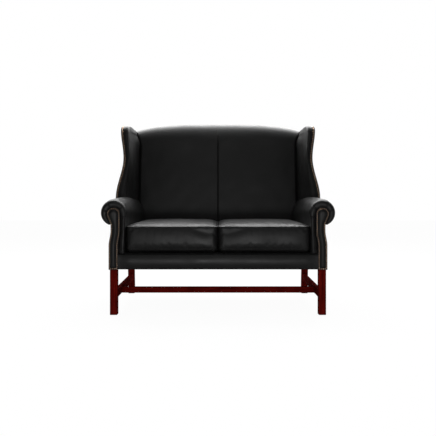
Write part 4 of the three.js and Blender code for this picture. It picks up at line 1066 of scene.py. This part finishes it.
wing_edge = np.array([wing_foot_y, wing_foot_z]) + wing_edge_shares * [wing_depth, wing_height]
first_join = len(wing_edge) - len(wing_join_shares)
ear_z = wing_edge[first_join - 1, 1]
wing_join = np.column_stack([back_face(wing_edge[:, 1]) + wing_tuck, wing_edge[:, 1]])
wing_join[first_join:] = np.column_stack([
    back_face(ear_z) + wing_tuck
    + (wing_edge[-1, 0] - wing_rear_ease - back_face(ear_z) - wing_tuck) * wing_join_shares,
    ear_z + (wing_edge[-1, 1] - wing_shoulder - ear_z) * eased(0, 0.5, wing_join_shares)])
wing_stations = 170
wing_line = smooth_line(wing_edge, wing_stations)
join_line = smooth_line(wing_join, wing_stations)
wing_sink = 0.05


def swayed(rows):
    """The wing's points moved outwards by its bend, which is two smooth steps with height, fades towards
    the back of the settee, and fades from the board inwards to where the wing meets the back."""
    foot, waist, ear = wing_bend_heights
    height = rows[..., 2]
    shift = (wing_foot_flare - (wing_foot_flare + wing_waist_draw) * eased(foot, waist, height)
             + wing_ear_flare * eased(waist, ear, height))
    shift = shift * (1 - eased(wing_bend_front, wing_bend_rear, rows[..., 1]))
    rows = rows.copy()
    rows[..., 0] += shift * np.clip((rows[..., 0] - wing_bend_inner) / wing_bend_width, 0, 1)
    return rows


def soft_line(points, count):
    """A curve drawn by its control points, evenly shared out among them: on each stretch the uniform
    cubic spline, which stays inside them, with both ends held."""
    padded_points = np.concatenate([points[..., :1, :]] * 2 + [points] + [points[..., -1:, :]] * 2, -2)
    place = np.linspace(0, points.shape[-2] + 1, count)
    first = np.minimum(place.astype(int), points.shape[-2])
    t = (place - first)[:, None]
    a, b, c, d = (padded_points[..., first + k, :] for k in range(4))
    return ((1 - t) ** 3 * a + (3 * t ** 3 - 6 * t ** 2 + 4) * b
            + (-3 * t ** 3 + 3 * t ** 2 + 3 * t + 1) * c + t ** 3 * d) / 6


def inside_wing(seed):
    """Rows from the arm up over the ear to the back. Each row is a smooth curve from the nail strip over
    the rolled edge and along the padded side to the back, then the hollow behind it over the board.
    Near the top, where a row is short, its roll and swell shrink with its length."""
    edge = np.vstack([wing_line[:1] - [0, wing_sink], wing_line])
    join = np.vstack([join_line[:1] - [0, wing_sink], join_line])
    span = join - edge
    reach = np.linalg.norm(span, axis=1)[:, None]
    inward = span / reach
    short = np.minimum(1, reach / (wing_edge_thickness * 2))
    join_x = back_half_width(join[:, 1])[:, None]
    side_share = np.linspace(0, 1, 9)[1:]
    rolled_x = wing_outer - wing_edge_thickness
    side_x = rolled_x + (join_x - rolled_x) * side_share
    side_x = side_x - wing_side_swell * np.sin(np.pi * side_share ** 0.8) * short
    start = wing_edge_thickness * short
    x = np.concatenate([wing_outer - wing_roll[:, 0] + 0 * reach, side_x], 1)
    depth = np.concatenate([wing_roll[:, 1] * short, start + (reach - start) * side_share], 1)
    fine = soft_line(np.stack([x, depth], -1), 80)
    x, depth = fine[..., 0], fine[..., 1]
    along = np.arange(len(edge))[:, None] * 0.006 + 0 * x
    x = x - wing_dents * unevenness(along, depth, 0.16, seed) * eased(0.004, 0.03, depth)
    board_inner = wing_outer - wing_board_thickness
    board_depth = np.minimum(wing_board_inset, reach * 0.6)
    over, down = np.linspace(0, 1, 20), np.linspace(0, 1, 40)
    x = np.concatenate([
        x, join_x + (board_inner - join_x) * over, board_inner + 0 * reach * down,
        board_inner + (wing_outer - board_inner) * over + 0 * reach], 1)
    depth = np.concatenate([
        depth, reach + 0 * over, reach + (board_depth - reach) * down, board_depth + 0 * over], 1)
    place = edge[:, None] + inward[:, None] * depth[..., None]
    return swayed(np.stack([x, place[..., 0], place[..., 1]], -1))


make_pair("inside_wing_leather", "inside_wing", inside_wing, soft_leather, "leather", sharp_angle=60, seed=51)


# Outside wings: flat leather over the outer side of each wing board, cut to the wing's edge and tucked
# in along the top of the arm, with its edge turned in under the nails.
outside_wing_inner = wing_face_x - 0.003
wing_turn = 0.004
wing_swell = 0.002
wing_ripple = 0.0012


def outside_wing(seed):
    """Rows from the arm up to the ear and back. Each runs from the edge to a spine along the rear of the
    frame, first on the outer face and then back on the inner one."""
    edge = np.vstack([[wing_line[0, 0], board_high.z + 0.01], wing_line])
    share = eased(0, 1, np.linspace(0, 1, len(edge)))
    spine_z = edge[0, 1] + (edge[-1, 1] - edge[0, 1]) * share
    spine = np.column_stack([frame_rear(spine_z) - 0.0003, spine_z])
    edge[-1] = spine[-1]
    t = np.linspace(0, 1, 60)[:, None] ** 1.4
    grid = edge[:, None] + (spine - edge)[:, None] * t
    from_edge = np.linalg.norm(grid - edge[:, None], axis=-1)
    turned = wing_turn * rolled_over(from_edge / wing_turn)
    soft = wing_ripple * unevenness(grid[..., 0], grid[..., 1], 0.2, seed) * eased(0, 0.05, from_edge)
    swell = wing_swell * eased(0, 0.12, from_edge)
    outer = np.concatenate([(wing_face_x - turned * 0.5 + soft + swell)[..., None], grid], -1)
    inner = np.concatenate([np.full(grid.shape[:2] + (1,), outside_wing_inner), grid], -1)
    return swayed(shell(outer, inner))


make_pair("outside_wing_leather", "outside_wing", outside_wing, tight_leather, "leather", seed=61)


# Wing nails: the same nails, driven edge to edge into the flat strip along each wing's edge, from the
# arm up over the ear to the back.
lowest_nail = 0.645  # height at which the arm's scroll covers the strip
nail_strip = wing_line[wing_line[:, 1] > lowest_nail]
strip_way = np.gradient(nail_strip, axis=0)
strip_out = np.column_stack([-strip_way[:, 1], strip_way[:, 0]])
strip_points = swayed(np.column_stack([np.full(len(nail_strip), wing_outer - nail_inset), nail_strip]))
wing_places = stations(np.column_stack([strip_points, strip_out]), nail_pitch)
outward = np.column_stack([np.zeros(len(wing_places)), wing_places[:, 3:]])
outward /= np.linalg.norm(outward, axis=1, keepdims=True)
nail_gap = 0.0002
for side, sign in sides:
    centres = mirrored(wing_places[:, :3] + outward * nail_gap, sign)
    nails = nail_heads("wing_nail_heads_" + side, centres, outward)
    finish_piece(nails, antique, "nails", "frame", "wing_nails_" + side)


# Seat cushions: two loose boxed cushions, each a leather cover piped along its seams over a foam core in
# fibre. The stuffing stretches the panels between the seams, which is worked out as cloth under pressure.
cushion_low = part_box("cushion_cover_right")[0]
seam_low_z = cushion_low.z + 0.0225
seam_high_z = cushion_low.z + 0.145
crown_shoulder = 0.0175
crown_round = 0.125  # front and back
crown_side_round = 0.08
cushion_crown = 0.007
belly_round = 0.035
cushion_corner = 0.026
cushion_draw = 0.004
cushion_gap = 0.0012
cushion_front = 0.008
cushion_rear = 0.004
front_bulge = 0.011
fullest = 0.42  # share of its height at which the front stands furthest out
front_dents = 0.0008
crown_end = 0.98  # share of the way to the middle at which the rings stop
piping_radius = 0.0028
piping_inset = 0.0006
crown_start = 0.012  # how far in from the seam the crown begins to stand at its full height
voxel = 0.006
most_swell = 0.002
seam_hold = 0.006  # how near a seam the cloth is held
cloth_pressure = 4
cloth_shrink = -0.012  # the cover is cut this share too large
cloth_steps = 20
outline_points = 160


def outer_side(y, inset=0.0):
    """How far out a cushion reaches beside the arm, which comes in towards the back."""
    return seat_half_width - cushion_gap - arm_splay * y / seat_depth - inset


def cushion_outline(inset):
    """Seen from above: four sides drawn in by half a sine, the outer one splayed like the arm, joined by
    quarter circles. The front is drawn in less than the others."""
    radius = cushion_corner * (1 - inset / outer_side(0) * 2)
    left, front = cushion_gap + inset, cushion_front + inset
    rear = seat_depth - cushion_rear - cushion_draw - inset
    corners = np.array([
        [left, front], [outer_side(front + radius, inset), front], [outer_side(rear, inset), rear],
        [left, rear]])
    centres = corners + radius * np.array([[1, 1], [-1, 1], [-1, -1], [1, -1]])
    turn = np.radians([180, 270, 0, 90])[:, None] + np.radians(np.linspace(0, 90, 8))
    arcs = centres[:, None] + radius * np.stack([np.cos(turn), np.sin(turn)], -1)
    s = np.linspace(0, 1, 34)[1:-1, None]
    straight = arcs[:, -1, None] * (1 - s) + np.roll(arcs[:, 0], -1, axis=0)[:, None] * s
    way = np.roll(corners, -1, axis=0) - corners
    way /= np.linalg.norm(way, axis=1, keepdims=True)
    inwards = np.stack([-way[:, 1], way[:, 0]], -1)
    draw = cushion_draw * np.array([0.3, 1, 1, 1])[:, None, None]
    straight = straight + inwards[:, None] * draw * np.sin(np.pi * s)
    return np.concatenate([arcs, straight], 1).reshape(-1, 2) + [0, front_plane]


def puffed(points):
    """The front panel pushed forward: from nothing at the seams to most a little below the middle, less
    towards the corners, and drawn in at the upper corner beside the other cushion."""
    x, y, z = points[..., 0], points[..., 1], points[..., 2]
    out = x / outer_side(0)
    drawn = 1 - 0.3 * (1 - eased(0.08, 0.4, out))
    up = np.clip((z - seam_low_z) / (seam_high_z - seam_low_z), 0, 1) / drawn
    above = np.clip(1 - ((up - fullest) / (1 - fullest)) ** 2, 0, 1)
    below = 1 - np.abs((fullest - up) / fullest) ** 6
    side = 1 - np.abs(out * 2 - 1) ** 6
    near = 1 - eased(cushion_front, cushion_front + cushion_corner, y - front_plane)
    uneven = front_dents * unevenness(x, z, 0.1, 91) * np.sin(np.pi * np.clip(up, 0, 1))
    points = points.copy()
    points[..., 1] -= (front_bulge * np.where(up > fullest, above, below) + uneven) * side * near
    return points


def crown_height(x, y, inset):
    """Height of the crown over its seam: a quarter ellipse up from each side, multiplied together, with
    half a sine each way on top."""
    to_side = np.minimum(x - cushion_gap, outer_side(y - front_plane) - x)
    to_end = np.minimum(y - front_plane - cushion_front, front_plane + seat_depth - cushion_rear - y)
    from_edges = [np.clip(to_side / crown_side_round, 0, 1), np.clip(to_end / crown_round, 0, 1)]
    rounded = np.sqrt((1 - (1 - from_edges[0]) ** 2) * (1 - (1 - from_edges[1]) ** 2))
    over = np.sin(np.pi * np.clip(x / outer_side(0), 0, 1)) * np.sin(np.pi * (y - front_plane) / seat_depth)
    at_edge = 1 - (1 - np.clip(inset / crown_start, 0, 1)) ** 2
    return (crown_shoulder * rounded + cushion_crown * over) * at_edge


def cushion_solid(name, sign):
    """Rings from the middle of the underside out to the seams and in again to the middle of the crown."""
    half = outer_side(0) / 2
    turn = np.radians(np.linspace(0, 90, 9))
    inner = np.linspace(0, 1, 7)[1:]
    belly = [(belly_round * (1 - np.cos(a)), seam_low_z + (cushion_low.z - seam_low_z) * np.sin(a))
             for a in turn]
    belly += [(belly_round + (half * crown_end - belly_round) * s, cushion_low.z) for s in inner]
    panel = [(0, z) for z in np.linspace(seam_low_z, seam_high_z, 14)[1:-1]]
    crown = [(crown_round * (1 - np.cos(a)), seam_high_z) for a in turn]
    crown += [(crown_round + (half * crown_end - crown_round) * s, seam_high_z) for s in inner]
    levels = belly[::-1] + panel + crown
    rows = np.stack([
        np.column_stack([cushion_outline(inset), np.full(outline_points, z)]) for inset, z in levels])
    top = rows[-len(crown):]
    top[..., 2] += crown_height(top[..., 0], top[..., 1], np.array(crown)[:, :1])
    return carry(name, mirrored(puffed(rows), sign))


def stuffed(piece):
    """The cover under pressure: remeshed evenly, held along both seams, swollen as cloth, with no point
    let further than a cover gives, or into what stands beside it."""
    bpy.context.view_layer.objects.active = piece
    piece.select_set(True)
    even = piece.modifiers.new("even", "REMESH")
    even.mode = "VOXEL"
    even.voxel_size = voxel
    bpy.ops.object.modifier_apply(modifier="even")
    start = np.empty(len(piece.data.vertices) * 3)
    piece.data.vertices.foreach_get("co", start)
    start = start.reshape(-1, 3)
    outline = cushion_outline(0)
    plan = np.column_stack([np.abs(start[:, 0]), start[:, 1]])
    away = np.sqrt(((plan[:, None] - outline) ** 2).sum(-1)).min(1)
    off_seam = np.minimum(np.abs(start[:, 2] - seam_low_z), np.abs(start[:, 2] - seam_high_z))
    group = piece.vertex_groups.new(name="seams")
    group.add(np.flatnonzero((away < seam_hold) & (off_seam < voxel * 0.7)).tolist(), 1.0, "ADD")
    swelling = piece.modifiers.new("swelling", "CLOTH")
    swelling.settings.vertex_group_mass = "seams"
    swelling.settings.use_pressure = True
    swelling.settings.uniform_pressure_force = cloth_pressure
    swelling.settings.effector_weights.gravity = 0
    swelling.settings.shrink_min = cloth_shrink
    swelling.settings.quality = 5
    swelling.point_cache.frame_start = 1
    swelling.point_cache.frame_end = cloth_steps
    for step in range(1, cloth_steps + 1):
        bpy.context.scene.frame_set(step)
    bpy.ops.object.modifier_apply(modifier="swelling")
    bpy.context.scene.frame_set(1)
    swollen = np.empty(len(start) * 3)
    piece.data.vertices.foreach_get("co", swollen)
    move = swollen.reshape(-1, 3) - start
    length = np.linalg.norm(move, axis=1, keepdims=True)
    move = move * most_swell * np.tanh(length / most_swell) / np.maximum(length, 1e-9)
    settled = start + move
    side = np.sign(settled[:, :1].mean())
    reach = outer_side(settled[:, 1] - front_plane)
    settled[:, 0] = side * np.clip(settled[:, 0] * side, cushion_gap / 2, reach)
    settled[:, 1] = np.minimum(settled[:, 1], front_plane + seat_depth - cushion_rear)
    settled[:, 2] = np.maximum(settled[:, 2], cushion_low.z)
    piece.data.vertices.foreach_set("co", settled.ravel())
    smoother = piece.modifiers.new("smoother", "SUBSURF")
    smoother.levels = smoother.render_levels = 1
    bpy.ops.object.modifier_apply(modifier="smoother")
    piece.data.shade_smooth()
    piece.select_set(False)


def piping_rows(height):
    """A cord covered in leather along a seam: a circle of ten points carried round the cushion."""
    line = np.column_stack([cushion_outline(piping_inset), np.full(outline_points, height)])
    way = np.roll(line, -1, axis=0) - np.roll(line, 1, axis=0)
    way /= np.linalg.norm(way, axis=1, keepdims=True)
    across = np.cross(way, (0, 0, 1))
    angle = np.arange(10) / 10 * 2 * np.pi
    return line[:, None] + piping_radius * (
        across[:, None] * np.cos(angle)[:, None] + np.array([0, 0, 1.0]) * np.sin(angle)[:, None])


for side, sign in sides:
    cover = cushion_solid("cushion_cover_leather_" + side, sign)
    stuffed(cover)
    finish_piece(cover, soft_leather, "leather", "cushion_" + side, "cushion_cover_" + side)
    for place, height in (("lower", seam_low_z), ("upper", seam_high_z)):
        piping = carry("cushion_piping_" + place + "_" + side, mirrored(piping_rows(height), sign), True)
        finish_piece(piping, soft_leather, "leather", "cushion_" + side)


# Cushion cores and zips: a block of cream foam inside each cover, and a black zip on woven tape across
# the back of the cover.
foam, foam_tree, foam_shader = new_material("cream_foam", Roughness=0.95, Specular_IOR_Level=0.15)
pits = add_node(foam_tree, "TexVoronoi", {"Vector": object_place(foam_tree), "Scale": 500})
pits = pits.outputs["Distance"]
foam_bump = add_node(foam_tree, "Bump", {"Height": pits, "Strength": 0.5, "Distance": 0.0006})
connect(foam_tree, foam_shader, Normal=foam_bump.outputs[0],
        Base_Color=ramp(foam_tree, pits, (0.1, (0.42, 0.34, 0.2, 1)), (0.5, (0.72, 0.63, 0.44, 1))))
paint_node("cushion_core", foam)
tape = cloth("zip_tape", (0.003, 0.003, 0.003, 1), (0.02, 0.02, 0.02, 1), 0.0009, "XZ")
paint_node("cushion_zip", tape)


# Floor and light: a pale floor under even air, a wide soft box above the back and a narrower one overhead,
# a long low one close to the floor in front, and a weak one high in front. The camera sees white, and so
# does what shines, behind; in front it sees the room dark but for the boxes. The floor keeps the shadow.
floor_half = 9
floor_colour = 0.8
floor_shone = 0.12  # as leather and brass see it
air_level = 0.7
air_in_front = 0.02  # as leather and brass see it
floor_white = 0.96  # share of plain white in what the camera sees of it; the rest has its shadows


def rays(tree):
    """Whether a ray is the camera's, directly or through glass, and whether it is glossy, as sockets."""
    path = add_node(tree, "LightPath").outputs
    seen = arithmetic(tree, "MAXIMUM", path["Is Camera Ray"], path["Is Transmission Ray"])
    return seen, path["Is Glossy Ray"]


floor_material, floor_tree, floor_shader = new_material("pale_floor", Roughness=0.9)
floor_glow = add_node(floor_tree, "Emission", {"Strength": 1.0})
seen, glossy = rays(floor_tree)
connect(floor_tree, floor_shader, Base_Color=arithmetic(
    floor_tree, "MULTIPLY_ADD", glossy, floor_shone - floor_colour, floor_colour))
floor_mix = add_node(floor_tree, "MixShader", {
    0: arithmetic(floor_tree, "MULTIPLY", seen, floor_white), 1: floor_shader.outputs[0],
    2: floor_glow.outputs[0]})
connect(floor_tree, floor_tree.nodes["Material Output"], Surface=floor_mix.outputs[0])
floor_mesh = bpy.data.meshes.new("floor")
floor_mesh.from_pydata(
    [(x * floor_half, y * floor_half, 0) for x, y in ((-1, -1), (1, -1), (1, 1), (-1, 1))],
    [], [(0, 1, 2, 3)])
floor = bpy.data.objects.new("floor", floor_mesh)
floor.data.materials.append(floor_material)
bpy.context.scene.collection.objects.link(floor)

world = bpy.data.worlds.new("air")
world.use_nodes = True
bpy.context.scene.world = world
air = world.node_tree
seen, glossy = rays(air)
way = add_node(air, "SeparateXYZ", {"Vector": add_node(air, "TexCoord").outputs["Generated"]}).outputs
behind = add_node(air, "MapRange", {"Value": way["Y"], "From Min": -0.1, "From Max": 0.5},
                  interpolation_type="SMOOTHSTEP").outputs[0]
shone = arithmetic(air, "MULTIPLY_ADD", behind, 1 - air_in_front, air_in_front)
matte_or_shone = arithmetic(
    air, "MULTIPLY_ADD", glossy, arithmetic(air, "SUBTRACT", shone, air_level), air_level)
connect(air, air.nodes["Background"], Strength=arithmetic(air, "MAXIMUM", seen, matte_or_shone))
air.nodes["Background"].inputs["Color"].default_value = (1, 1, 1, 1)


def soft_box(name, place, aim, size, brightness):
    """A rectangular soft light at a place, turned towards a point. Brightness 1 shows as white."""
    data = bpy.data.lights.new(name, "AREA")
    data.shape = "RECTANGLE"
    data.size, data.size_y = size
    data.energy = brightness * np.pi * size[0] * size[1]
    lamp = bpy.data.objects.new(name, data)
    lamp.location = place
    lamp.rotation_euler = Vector(np.subtract(aim, place)).to_track_quat("-Z", "Y").to_euler()
    lamp.visible_camera = False
    bpy.context.scene.collection.objects.link(lamp)


soft_box("above_the_back", (0, 1.6, 2.9), (0, -0.1, 0.5), (4.4, 2.2), 5.5)
soft_box("overhead", (0, -0.1, 3.2), (0, 0, 0.5), (3, 1.2), 0.6)
soft_box("low_in_front", (0, -3.6, 0.2), (0, 0, 0.2), (2, 0.36), 8)
soft_box("high_in_front", (0, -3.6, 3.4), (0, 0, 0.5), (2.4, 1), 0.85)
bpy.context.scene.view_settings.view_transform = "Standard"
